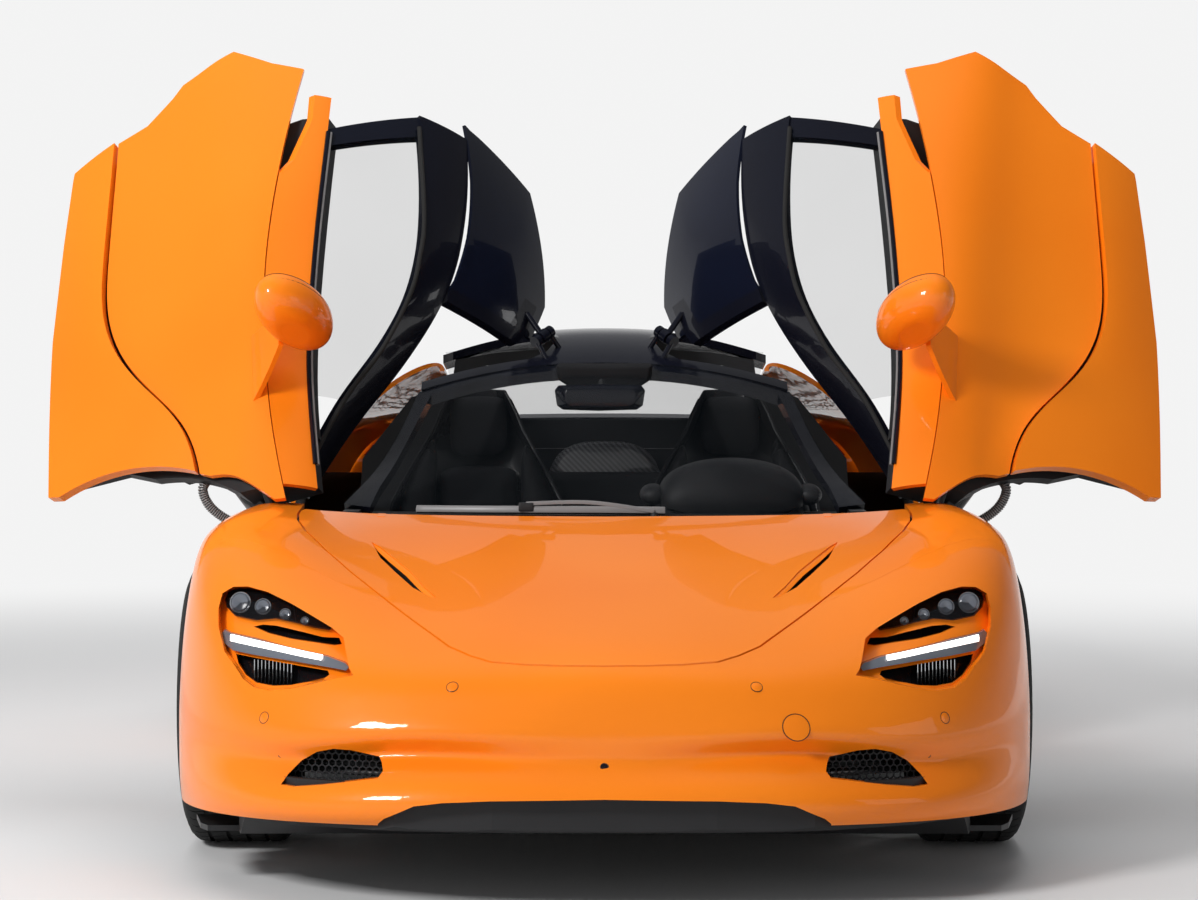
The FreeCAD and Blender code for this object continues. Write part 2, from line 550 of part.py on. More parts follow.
def door_rail(inner):
    """Roof rail and screen pillar that lift with the door, the post behind the side glass and the roof hinge's eye."""
    rows = []
    for y in (440, 500, 590, 680, 760, 826, 900, 980, 1090, 1220, 1400, 1541):
        a = V(along(RAIL_IN, y, 1), y, along(RAIL_IN, y, 2))
        b = V(along(RAIL_OUT, y, 1), y, along(RAIL_OUT, y, 2))
        rows.append([a, (a + b) * 0.5 + V(3, 0, 9), b])
    rail = panel(rows, 26, V(0, 1000, 400))
    pillar_rows = [
        [V(672, 442, 742), V(740, 442, 786), V(796, 442, 828)],
        [V(652, 500, 764), V(700, 510, 800), V(802, 520, 826)],
    ]
    pillar = panel(pillar_rows, 60, V(0, 700, 300))
    post_rows = []
    for k in range(4):
        row = []
        for low_y, high_y in zip(*WINDOW_POST):
            low = V(along(BELT, low_y, 1) - 4, low_y, along(BELT, low_y, 2) - 8)
            high = V(along(RAIL_OUT, high_y, 1) - 4, high_y, along(RAIL_OUT, high_y, 2) - 6)
            row.append(mix_point(low, high, k / 3) + V(9, 0, 6) * (k % 3 > 0))
        post_rows.append(row)
    post = panel(post_rows, 24, V(0, 1000, 400))
    bar = panel(roof_rows(), ROOF_SKIN, V(0, 1300, 0)).common(prism(ROOF_BAR_RING, "z", 900, 1300))
    eye = hinge_eye(HINGE_ROOF, (196, 1118, 1146), 8)
    return biggest(fused([rail, post, pillar, bar, eye]).cut(inner))


def side_glass(rail, inner):
    """Fixed side window, from the belt to the roof rail and back to its post."""
    (low_back, _), (high_back, _) = WINDOW_POST
    rows = []
    for k in range(7):
        t = k / 6
        low_y, high_y = mix(655, low_back + 12, t), mix(676, high_back + 12, t)
        low = V(along(BELT, low_y, 1) - 14, low_y, along(BELT, low_y, 2) - 6)
        high = V(along(RAIL_OUT, high_y, 1) - 4, high_y, along(RAIL_OUT, high_y, 2) - 4)
        middle = (low + high) * 0.5 + V(10, 0, 8)
        rows.append([low, middle, high])
    return biggest(less(panel(rows, GLASS, DOOR_CORE), [rail, inner]))


def roof_glass(rail):
    """Dark glass over the seat, which lifts with the door."""
    ring = grown(ROOF_GLASS, -SHUT_GAP)
    pane = panel(roof_rows(), GLASS + 3, V(0, 1300, 0)).common(prism(ring, "z", 900, 1300))
    inboard = [(x - 1.0, y) for y, x, _ in RAIL_IN if y >= 1080]
    keep = [(0, ROOF_BAR[1]), (480, ROOF_BAR[1])] + inboard + [(445, 1700), (0, 1700)]
    return biggest(pane.common(prism(keep, "z", 900, 1300)).cut(rail))


MIRROR_AT = (1009.0, 743.0, 907.0)
NOSE_Y = 384.0


def door_mirror(inner, leaf):
    """Mirror housing on its flat stalk from the door's shoulder."""
    x, y, z = MIRROR_AT
    rings = []
    for offset, wide, high in ((-62, 42, 26), (-48, 105, 58), (-10, 134, 76), (30, 126, 72), (42, 116, 64)):
        ellipse = Part.Ellipse(V(x, y + offset, z), wide, high)
        arc = Part.Wire([ellipse.toShape()])
        arc.rotate(V(x, y + offset, z), V(1, 0, 0), 90)
        rings.append(arc)
    housing = Part.makeLoft(rings, True, False)
    stalk_rows = [
        [V(878, 612, 716), V(878, 806, 712)],
        [V(918, 636, 778), V(918, 800, 776)],
        [V(966, 690, 850), V(966, 786, 850)],
    ]
    stalk = panel(stalk_rows, 12, V(950, 600, 0))
    return biggest(less(fused([housing, stalk]), [inner, leaf]))


def door_parts():
    """All pieces of the left door, closed."""
    leaf, blade = door_skin()
    inner = door_inner([leaf, blade])
    rail = door_rail(inner)
    window = side_glass(rail, inner)
    return {
        "skin": Part.makeCompound([leaf, blade]),
        "shoulder": door_shoulder([leaf, inner, rail, window]),
        "inner": inner,
        "rail": rail,
        "window": window,
        "roof_glass": roof_glass(rail),
        "mirror": door_mirror(inner, leaf),
    }


# Body behind the doors. Rows run back along the car, and the columns are the buttress's inner edge, its ridge,
# its foot, the haunch, the shoulder, the flank and the sill.
QUARTER = [
    [(447, 1480, 1080), (447, 1480, 1126), (600, 1480, 1070), (756, 1480, 893), (832, 1480, 830), (905, 1480, 700), (920, 1480, 470), (948, 1450, 215)],
    [(446, 1600, 1072), (446, 1600, 1116), (598, 1600, 1060), (752, 1600, 898), (818, 1600, 850), (906, 1640, 700), (924, 1600, 480), (950, 1520, 215)],
    [(442, 1760, 1045), (442, 1760, 1096), (588, 1760, 1042), (738, 1760, 902), (808, 1770, 872), (912, 1800, 716), (934, 1760, 500), (952, 1700, 205)],
    [(438, 2000, 980), (436, 2000, 1060), (572, 2000, 1014), (716, 2000, 908), (804, 2000, 896), (930, 2010, 745), (950, 1990, 545), (955, 1960, 200)],
    [(446, 2240, 892), (440, 2240, 1014), (562, 2240, 974), (698, 2240, 916), (800, 2240, 912), (944, 2250, 770), (962, 2250, 600), (960, 2240, 300)],
    [(458, 2480, 880), (452, 2480, 972), (566, 2480, 940), (690, 2480, 920), (796, 2480, 918), (944, 2480, 800), (964, 2470, 700), (962, 2470, 420)],
    [(472, 2700, 872), (468, 2700, 938), (574, 2700, 925), (686, 2700, 919), (790, 2700, 913), (936, 2700, 822), (963, 2700, 738), (962, 2700, 450)],
    [(486, 2930, 866), (482, 2930, 916), (580, 2930, 914), (682, 2930, 911), (782, 2930, 902), (922, 2920, 800), (955, 2910, 680), (955, 2900, 430)],
    [(492, 3160, 850), (490, 3160, 897), (584, 3160, 898), (676, 3160, 895), (770, 3160, 884), (898, 3140, 770), (934, 3120, 600), (928, 3100, 340)],
    [(496, 3350, 832), (494, 3350, 872), (580, 3350, 876), (668, 3345, 876), (748, 3335, 862), (862, 3300, 750), (900, 3270, 590), (892, 3240, 330)],
]
QUARTER_CORE = V(200, 2400, 450)


def rear_quarter():
    """Rear quarter with its haunch and flying buttress, cut back to the door and to the wheel."""
    rows = points(QUARTER)
    skin = panel(rows, SKIN, QUARTER_CORE)
    door = prism(grown(DOOR_SIDE, SHUT_GAP), "x", 300, 1300)
    intake = prism([(1600, 560), (1735, 560), (1790, 640), (1800, 760), (1760, 820), (1600, 838)], "x", 820, 1300)
    return biggest(less(skin, [door, intake, wheel_hole(REAR_WHEEL, REAR_WHEEL["arch"], 560)]))


def screen_rows():
    """Rows of the windscreen from the cowl to the header."""
    rows = []
    for k in range(8):
        t = k / 7
        middle_y = mix(262, 978, t)
        middle_z = mix(736, 1107, t) + 82 * t * (1 - t)
        side_y = mix(496, 978, t)
        side_x = along(RAIL_IN, side_y, 1) - SHUT_GAP - 1
        side_z = along(RAIL_IN, side_y, 2) + 2
        row = []
        for u in (-1, -0.8, -0.55, -0.28, 0, 0.28, 0.55, 0.8, 1):
            lean = abs(u) ** 2.3
            row.append(V(side_x * u, mix(middle_y, side_y, lean), mix(middle_z, side_z, lean)))
        rows.append(row)
    return rows


def roof_frame(quarter, screen):
    """Fixed frame of the cabin: screen pillars, header, the spine between the roof glasses and the panel behind."""
    skin = panel(roof_rows(), ROOF_SKIN, V(0, 1300, 0))
    side = prism(grown(ROOF_GLASS, 0), "z", 900, 1300)
    ends = block(484, 700, 900, 1800, 900, 1300)
    rear = prism([(452, 1596), (700, 1596), (700, 1800), (450, 1800)], "z", 900, 1300)
    roof = biggest(less(skin, [side, mirrored(side), ends, mirrored(ends), rear, mirrored(rear)]))
    under = panel(pushed(screen_rows(), -GLASS, V(0, 1200, 300)), 24, V(0, 1200, 300))
    pillar = under.common(prism([(590, 380), (660, 380), (644, 500), (482, 990), (440, 990), (560, 560)], "z", 600, 1200))
    header = under.common(block(-480, 480, 948, 1010, 900, 1200))
    bracket = hinge_bracket(HINGE_ROOF, [(112, 1092, 1130), (150, 1018, 1108)], 7)
    frame = fused([roof, biggest(pillar), mirrored(biggest(pillar)), header, bracket, mirrored(bracket)])
    return biggest(less(frame, [screen, quarter, mirrored(quarter)]))


def windscreen():
    """Curved screen from the cowl to the header, between the two pillars."""
    return panel(screen_rows(), GLASS, V(0, 1200, 300))


def rear_screen(quarter, frame):
    """Back window between the buttresses, from the roof panel down to the deck."""
    rows = []
    for k in range(5):
        t = k / 4
        y = mix(1740, SCREEN_END, t)
        z = mix(1160, 932, t) + 52 * t * (1 - t)
        half = mix(452, 450, t)
        rows.append([V(half * u, station(y), z - mix(34, 8, t) * abs(u) ** 2) for u in (-1, -0.5, 0, 0.5, 1)])
    return biggest(less(panel(rows, GLASS, V(0, 1700, 400)), [quarter, mirrored(quarter), frame]))


def engine_cover(quarter, screen):
    """Deck over the engine, between the buttresses, with a louvred opening down each side."""
    stations = [
        (SCREEN_END - 2, 456, 930, 8), (2400, 460, 918, 6), (2620, 476, 905, 4), (2850, 492, 893, 2), (3100, 502, 880, 0),
        (3418, 506, 866, 0),
    ]
    rows = [[V(half * u, station(y), z - drop * abs(u) ** 2) for u in (-1, -0.6, 0, 0.6, 1)] for y, half, z, drop in stations]
    deck = panel(rows, SKIN, V(0, 2600, 0))
    slots = []
    for k in range(LOUVRES):
        y = station(2300) + LOUVRE_PITCH * k
        slots += [block(-330, -150, y, y + 30, 800, 1100), block(150, 330, y, y + 30, 800, 1100)]
    return biggest(less(deck, slots + [quarter, mirrored(quarter), screen]))


# Rear fascia rows from the deck's lip down, and columns from the middle outwards
REAR_FASCIA = [
    [(0, 3420, 872), (300, 3418, 871), (560, 3405, 868), (760, 3350, 850)],
    [(0, 3490, 852), (300, 3486, 850), (580, 3458, 846), (800, 3360, 812)],
    [(0, 3500, 780), (300, 3496, 778), (600, 3464, 770), (860, 3330, 720)],
    [(0, 3512, 660), (300, 3508, 655), (610, 3472, 640), (884, 3300, 600)],
    [(0, 3520, 540), (300, 3516, 530), (600, 3480, 500), (884, 3280, 450)],
    [(0, 3470, 400), (300, 3466, 395), (590, 3430, 370), (866, 3262, 340)],
]
TAIL_LAMP = [(300, 800), (760, 760), (800, 772), (770, 806), (300, 838)]
SCREEN_END = 2190.0
LOUVRES = 7
LOUVRE_PITCH = 58.0
TAIL_FACE = 3524.0
PLATE_SPACING = 177.8
PLATE_HOLE = 3.5


def bumper_rear(quarter, deck):
    """Rear fascia with its mesh opening, lamp slots and pipe holes, and the number plate's bracket."""
    skin = panel(full_rows(points(REAR_FASCIA)), SKIN, V(0, 2600, 600))
    low, high = station(3200), station(3620)
    mesh = prism(both_sides([(0, 560), (560, 585), (640, 700), (560, 745), (0, 755)]), "y", low, high)
    lamp = prism(TAIL_LAMP, "y", low, high)
    face = station(TAIL_FACE)
    plate = block(-130, 130, face - 45, face, 400, 520)
    holes = [
        Part.makeCylinder(PLATE_HOLE, 200, V(side * PLATE_SPACING / 2, face - 150, 460), V(0, 1, 0)) for side in (-1, 1)
    ]
    whole = fused([less(skin, [mesh, two(lamp)]), plate])
    return biggest(less(whole, holes + [quarter, mirrored(quarter), deck]))


def tyre(wheel):
    half, r, bead = wheel["width"] / 2, wheel["radius"], wheel["rim"] + SEAT_GAP
    profile = [
        (-half + 16, bead), (half - 16, bead), (half - 6, bead + 12), (half, bead + 36), (half - 4, r - 30),
        (half - 20, r - 8), (half - 40, r), (-half + 40, r), (-half + 20, r - 8), (-half + 4, r - 30),
        (-half, bead + 36), (-half + 6, bead + 12),
    ]
    return turned(profile, wheel)


RIM_INSET = 18.0
SPOKE_INSET = 34.0
DISC_BACK = 92.0
DISC_THICK = 28.0
HUB_BORE = 34.0


def face_plane(wheel):
    """Outer face of the rim's hub across the car."""
    return wheel["x"] + wheel["width"] / 2 - RIM_INSET - SPOKE_INSET


def rim(wheel):
    """Ten-spoke alloy rim with its hub, and the brake disc bolted behind it."""
    half, r = wheel["width"] / 2 - RIM_INSET, wheel["rim"]
    y, z = wheel["y"], wheel["radius"]
    barrel = turned([(-half, r - 18), (-half, r), (half, r), (half, r - 22), (half - 26, r - 34), (-half + 14, r - 26)], wheel)
    face = face_plane(wheel)
    hub = across(72, face - 34, face + 4, y, z)
    spokes = []
    for k in range(10):
        ends = []
        for depth, width, radius in ((0, 15, 60), (20, 10, r - 26)):
            ring = [(face - 22 + depth, -width - 3), (face + 2 + depth, -width), (face + 2 + depth, width), (face - 22 + depth, width + 3)]
            ends.append(Part.makePolygon([V(a, b, radius) for a, b in ring + ring[:1]]))
        spoke = Part.makeLoft(ends, True, True)
        spoke.translate(V(0, y, z))
        spoke.rotate(V(0, y, z), V(1, 0, 0), 36 * k)
        spokes.append(spoke)
    plane = disc_plane(wheel)
    bell = across(92, plane + DISC_THICK, face - 34, y, z)
    disc = across(192, plane, plane + DISC_THICK, y, z)
    bore = across(HUB_BORE, plane - 10, face - 8, y, z)
    return fused([barrel, hub, bell, disc] + spokes).cut(bore)


def disc_plane(wheel):
    """Inner face of the brake disc across the car."""
    return face_plane(wheel) - DISC_BACK


def caliper(wheel, forward):
    """Brake caliper astride the disc, on the given side of the axle."""
    plane = disc_plane(wheel)
    y, z = wheel["y"], wheel["radius"]
    ring = across(206, plane - 36, plane + DISC_THICK + 24, y, z).cut(across(120, plane - 60, plane + 80, y, z))
    ring = ring.cut(across(192 + SHUT_GAP, plane - SHUT_GAP, plane + DISC_THICK + SHUT_GAP, y, z))
    wedge = prism([(y, z), (y + forward * 400, z - 200), (y + forward * 400, z + 160)], "x", plane - 60, plane + 90)
    return biggest(ring.common(wedge))


def knuckle():
    """Front upright with its two ball joints, spindle and caliper, which turns on the kingpin."""
    plane = disc_plane(FRONT_WHEEL)
    z = FRONT_WHEEL["radius"]
    post = rod((KINGPIN_X, 0, z - BALL_HEIGHT), (KINGPIN_X, 0, z + BALL_HEIGHT), 17)
    carrier = across(62, KINGPIN_X - 26, plane - 6, 0, z)
    spindle = across(HUB_BORE - SEAT_GAP, KINGPIN_X, plane + 60, 0, z)
    arm = block(KINGPIN_X - 14, KINGPIN_X + 14, 0, 120, z - 96, z - 70)
    bridge = block(KINGPIN_X - 16, plane - 8, -175, 0, z - 30, z + 10)
    return fused([post, carrier, spindle, arm, bridge, caliper(FRONT_WHEEL, -1)])


def suspension_front():
    """Double wishbones on their pivots and the steering rack, held clear of the knuckles by the ball joints."""
    z = FRONT_WHEEL["radius"]
    arms = []
    for side in (-1, 1):
        end = z + side * (BALL_HEIGHT + 12 + SEAT_GAP)
        pieces = [rod((438, y, end), (KINGPIN_X, 0, end), 11) for y in (-150, 130)]
        pieces.append(Part.makeCylinder(19, 24, V(KINGPIN_X, 0, end - 12), V(0, 0, 1)))
        low = FLOOR_Z[1] if side < 0 else end - 12
        pieces.append(block(TRUNK_X, 448, -165, 145, low, end + 12))
        arms.append(fused(pieces))
    rack = rod((-TRUNK_X, 175, z - 83), (TRUNK_X, 175, z - 83), 22)
    foot = block(-60, 60, 160, 190, FLOOR_Z[1], z - 95)
    return arms, fused([rack, foot])


def suspension_rear(block_of_engine):
    """Rear upright with its spindle and caliper, four links and the drive shaft, seated on the gearbox."""
    z, y = REAR_WHEEL["radius"], REAR_WHEEL["y"]
    inboard = GEARBOX_X - 8
    plane = disc_plane(REAR_WHEEL)
    hub_x = plane - 60
    upright = [
        block(hub_x - 30, plane - 8, y - 60, y + 60, z - 130, z + 130),
        across(HUB_BORE - SEAT_GAP, hub_x, plane + 60, y, z),
        block(hub_x - 20, plane - 8, y, y + 170, z - 30, z + 20),
        caliper(REAR_WHEEL, 1),
    ]
    arms = [rod((inboard, y + dy, z + h), (hub_x - 6, y + dy * 0.25, z + h), 13) for dy in (-150, 150) for h in (-105, 110)]
    shaft = rod((inboard, y, z), (hub_x, y, z), 17)
    return biggest(fused(upright + arms + [shaft]).cut(block_of_engine))


def floor():
    """Flat floor from the splitter to the diffuser, narrow between the wheels."""
    end = station(DIFFUSER_START)
    ring = [
        (0, FLOOR_FRONT), (856, FLOOR_FRONT), (876, -560), (900, -430), (520, -400), (520, 400), (900, 520), (926, 900),
        (926, 1800), (930, station(2230)), (600, station(2250)), (600, end), (0, end),
    ]
    pads = [
        Part.makeCylinder(JACK_PAD, FLOOR_Z[0] - JACK_PAD_Z, V(side * JACK_X, station(y), JACK_PAD_Z), V(0, 0, 1))
        for side in (-1, 1) for y in JACK_Y
    ]
    return fused([prism(both_sides(ring), "z", *FLOOR_Z)] + pads)


def tub(others):
    """Carbon cabin tub: sills, front and rear bulkheads with the roll hoop, tunnel, floor pan and hinge brackets."""
    low = FLOOR_Z[1]
    pan = block(-SILL_IN, SILL_IN, CABIN_FRONT, CABIN_BACK + 60, low, low + 22)
    sill = prism([(SILL_IN, low), (SILL_OUT, low), (SILL_OUT, SILL_TOP - 90), (SILL_OUT - 60, SILL_TOP), (SILL_IN + 20, SILL_TOP), (SILL_IN, low + 180)], "y", 560, CABIN_BACK + 60)
    toe = prism(both_sides([(0, low), (540, low), (560, 300), (600, 690), (600, 740), (0, 740)]), "y", CABIN_FRONT - 22, CABIN_FRONT)
    hoop = both_sides([(0, low), (820, low), (820, 360), (690, 620), (676, 830), (540, 1000), (424, 1050), (416, 1106), (300, 1126), (186, 1134), (180, 1176), (0, 1176)])
    back = prism(hoop, "y", CABIN_BACK, CABIN_BACK + 60)
    back = back.cut(block(-330, 330, CABIN_BACK - 10, CABIN_BACK + 70, 850, 1090))
    cheek = prism([(CABIN_FRONT - 22, low), (640, low), (640, 480), (500, 748), (CABIN_FRONT - 22, 748)], "x", SILL_IN - 40, SILL_IN)
    tunnel = block(-90, 90, CABIN_FRONT, CABIN_BACK, low, 330)
    bracket = hinge_bracket(HINGE_FOOT, [(630, 396, 640), (768, 389, 566)], 8)
    flange = block(SILL_IN - 10, 786, CABIN_FRONT - 22, CABIN_FRONT, 540, 590)
    sides = [sill, cheek, bracket, flange]
    whole = fused([pan, toe, back, tunnel] + sides + [mirrored(piece) for piece in sides])
    return biggest(less(whole, others))


SEAT_SHAPE = [(250, 200), (250, 640), (233, 723), (190, 805), (123, 915), (85, 1000), (60, 1036)]


def seat():
    """One-piece bucket seat on its rails: cushion, bolstered back and headrest."""
    cushion = prism([(760, 240), (1180, 200), (1180, 262), (800, 330), (748, 318)], "x", SEAT_X - 215, SEAT_X + 215)
    back = prism([(1150, 214), (1262, 204), (1452, 820), (1486, 1032), (1428, 1037), (1370, 830)], "x", SEAT_X - 205, SEAT_X + 205)
    wing = [(1060, 250), (1180, 230), (1360, 690), (1290, 700), (1150, 400), (1060, 380)]
    wings = [prism(wing, "x", SEAT_X + side * 222 - 14, SEAT_X + side * 222 + 14) for side in (-1, 1)]
    shape = [(SEAT_X + x, z) for x, z in SEAT_SHAPE] + [(SEAT_X - x, z) for x, z in reversed(SEAT_SHAPE)]
    rails = [block(SEAT_X + side * 150 - 15, SEAT_X + side * 150 + 15, 790, 1180, FLOOR_Z[1] + 22, 240) for side in (-1, 1)]
    return fused([fused([cushion, back] + wings).common(prism(shape, "y", 600, 1600))] + rails)


WHEEL_TILT = 22.0
WHEEL_AT = (SEAT_X, 800.0, 690.0)
COLUMN_RADIUS = 18.0


def column(radius):
    """Steering column from the wheel's hub into the dashboard."""
    shaft = Part.makeCylinder(radius, 110, V(0, 0, -125), V(0, 0, 1))
    shaft.rotate(V(0, 0, 0), V(1, 0, 0), -90 + WHEEL_TILT)
    shaft.translate(V(*WHEEL_AT))
    return shaft


HOOD_SHAPE = [(-181, 720), (181, 720), (160, 810), (120, 846), (60, 858), (-60, 858), (-120, 846), (-160, 810)]
HOOD_SIDE = [(540, 720), (670, 720), (662, 800), (655, 860), (600, 852), (556, 800)]
HOOD_AT = (540.0, 670.0)
HOOD_X = 318.0


def dashboard(others):
    """Dash panel from screen to knees, with the hooded instrument display and the column's bearing."""
    ring = [(CABIN_FRONT, 560), (600, 520), (740, 560), (760, 690), (700, 730), (500, 735), (CABIN_FRONT, 735)]
    top = prism(ring, "x", -SILL_IN + 40, SILL_IN - 40)
    hood = prism([(HOOD_X + x, z) for x, z in HOOD_SHAPE], "y", HOOD_AT[0], HOOD_AT[1])
    hood = hood.common(prism(HOOD_SIDE, "x", 0, 2 * HOOD_X))
    top = fused([top, hood])
    return biggest(less(top.cut(column(COLUMN_RADIUS + SEAT_GAP)), others))


TRUNK_X = 400.0


def luggage_tub():
    """Open luggage tub under the front lid, lower at the nose."""
    wall = 6
    side = [(-560, 240), (150, 240), (150, 640), (-100, 620), (-560, 490)]
    outer = prism(side, "x", -TRUNK_X, TRUNK_X)
    inner = block(-TRUNK_X + wall, TRUNK_X - wall, -560 + wall, 150 - wall, 240 + wall, 900)
    feet = [block(x - 20, x + 20, y, y + 30, FLOOR_Z[1], 240) for x in (-300, 300) for y in (-500, 90)]
    return fused([outer.cut(inner)] + feet)


GEARBOX_X = 190.0
DIFFUSER_START = 2960.0


def engine():
    """Engine and gearbox as one plain block on its feet."""
    low = FLOOR_Z[1] + 30
    rear, end = station(2330), station(DIFFUSER_START)
    feet = [block(x - 30, x + 30, y, y + 60, FLOOR_Z[1], low) for x in (-220, 220) for y in (1800, rear - 90)]
    return fused([block(-270, 270, 1760, rear, low, 740), block(-GEARBOX_X, GEARBOX_X, rear, end, low, 520)] + feet)


def rear_wing(others):
    """Full-width wing on two posts, lying just above the tail."""
    sections = []
    for x in (-700, -350, 0, 350, 700):
        lift = -18 * (abs(x) / 700) ** 2
        ring = [(3270, 886), (3330, 897), (3420, 893), (3508, 906), (3512, 899), (3420, 881), (3330, 881)]
        sections.append(Part.makePolygon([V(x, station(y), z + lift) for y, z in ring + ring[:1]]))
    blade = Part.makeLoft(sections, True, False)
    posts = [block(side * 330 - 14, side * 330 + 14, station(3340), station(3400), 850, 888) for side in (-1, 1)]
    return biggest(less(fused([blade] + posts), others))


def diffuser():
    """Ramp under the tail with its vertical fins."""
    start, end = station(DIFFUSER_START), station(3470)
    ramp = prism([(start, 112), (end, 330), (end + 8, 344), (end, 352), (start, 124)], "x", -600, 600)
    fin = [(start + 40, 132), (end - 10, 180), (end + 22, 250), (end + 6, 345), (end - 4, 336)]
    fins = [prism(fin, "x", x - 5, x + 5) for x in (-480, -290, -110, 110, 290, 480)]
    return fused([ramp] + fins)


def exhausts():
    """Silencer on the gearbox and its two high pipes."""
    start, tail = station(3040), station(TAIL_FACE)
    pipe = Part.makeCylinder(62, tail - start, V(140, start, 660), V(0, 1, 0))
    bore = Part.makeCylinder(56, 260, V(140, tail - 250, 660), V(0, 1, 0))
    box = block(-260, 260, station(2930), start + 10, 520, 740)
    pipe = pipe.cut(bore)
    return fused([box, pipe, mirrored(pipe)])


def tail_lamp(bumper):
    """Slim rear lamp filling its slot in the fascia."""
    return biggest(prism(grown(TAIL_LAMP, -SEAT_GAP), "y", station(3330), station(3462)).cut(bumper))


def steering_wheel():
    """Three-spoke steering wheel with its column."""
    ring = Part.makeTorus(170, 15, V(0, 0, 0), V(0, 0, 1))
    hub = Part.makeCylinder(52, 30, V(0, 0, -15), V(0, 0, 1))
    spokes = [block(-170, 170, -16, 16, -8, 8), block(-14, 14, -170, 0, -8, 8)]
    whole = fused([ring, hub] + spokes)
    whole.rotate(V(0, 0, 0), V(1, 0, 0), -90 + WHEEL_TILT)
    whole.translate(V(*WHEEL_AT))
    return fused([whole, column(COLUMN_RADIUS)])


def mix_point(a, b, t):
    return a * (1 - t) + b * t


def opened(shape):
    """Swing a left door part from closed to open about its hinge line."""
    a, b = V(*HINGE_ROOF), V(*HINGE_FOOT)
    moved = shape.copy()
    moved.rotate(a, b - a, DOOR_OPEN)
    return moved


def build():
    """Every node of the car by name, with its doors raised."""
    nodes = {}
    lid, vents, bumper, fender, above = front_panels()
    quarter = rear_quarter()
    screen = windscreen()
    frame = roof_frame(quarter, screen)
    tray = cowl([screen, frame])
    door = door_parts()
    motor = engine()
    glass = rear_screen(quarter, frame)
    deck = engine_cover(quarter, glass)
    tail = bumper_rear(quarter, deck)
    arms, rack = suspension_front()
    rear = suspension_rear(motor)
    lamp = tail_lamp(tail)
    socket, lens, light_bar = headlamp(bumper, fender)
    sided = {
        "fender": fender,
        "quarter": quarter,
        "headlamp": socket,
        "headlamp_lens": lens,
        "light_bar": light_bar,
        "seat": seat(),
        "tyre_front": tyre(FRONT_WHEEL),
        "rim_front": rim(FRONT_WHEEL),
        "tyre_rear": tyre(REAR_WHEEL),
        "rim_rear": rim(REAR_WHEEL),
        "knuckle": knuckle(),
    }
    for name, shape in door.items():
        sided["door_" + name] = opened(shape)
    for name, shape in sided.items():
        nodes[name + "_left"] = shape
        nodes[name + "_right"] = mirrored(shape)
    nodes["luggage_lid"] = lid
    nodes["hood_vents"] = Part.makeCompound([vents, mirrored(vents)])
    nodes["bumper_front"] = bumper
    nodes["splitter"] = splitter(bumper, above)
    nodes["cowl"] = tray
    nodes["windscreen"] = screen
    nodes["roof_frame"] = frame
    nodes["tub"] = tub([screen, frame, tray, quarter, mirrored(quarter)])
    nodes["floor"] = floor()
    nodes["dashboard"] = dashboard([tray, screen, frame])
    nodes["steering_wheel"] = steering_wheel()
    nodes["luggage_tub"] = luggage_tub()
    nodes["suspension_front"] = Part.makeCompound(arms + [mirrored(arm) for arm in arms] + [rack])
    nodes["suspension_rear"] = Part.makeCompound([rear, mirrored(rear)])
    nodes["engine"] = motor
    nodes["rear_screen"] = glass
    nodes["engine_cover"] = deck
    nodes["bumper_rear"] = tail
    nodes["tail_lamps"] = Part.makeCompound([lamp, mirrored(lamp)])
    nodes["rear_wing"] = rear_wing([deck, quarter, mirrored(quarter)])
    nodes["diffuser"] = diffuser()
    nodes["exhausts"] = exhausts()
    return nodes


def main():
    os.makedirs("parts", exist_ok=True)
    for name, shape in build().items():
        shape.translate(V(0, FRONT_AXLE_Y, 0))
        shape.exportStep("parts/" + name + ".step")
        box = shape.BoundBox
        print(f"{name:22s} {shape.Volume / 1e6:9.3f} l  solids {len(shape.Solids)} valid {shape.isValid()} "
              f"x {box.XMin:.0f}..{box.XMax:.0f} y {box.YMin:.0f}..{box.YMax:.0f} z {box.ZMin:.0f}..{box.ZMax:.0f}")


main()
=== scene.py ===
"""Looks of a mid-engined supercar with raised dihedral doors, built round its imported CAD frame.

Meshes are in metres in the frame of the CAD model: the nose points to -Y, the car's left side is +X and the
floor is z = 0. Places on the car are in millimetres from the front axle, and profiles of small parts in
metres. Each sub-assembly is a class that builds its own meshes and lets every piece ride on its body.
"""

import json
import logging
import math
from dataclasses import dataclass
from enum import Enum
from functools import cache, cached_property, partialmethod
from typing import Any, Callable, Sequence

import bmesh
import bpy
from mathutils import Matrix, Vector
from mathutils.bvhtree import BVHTree

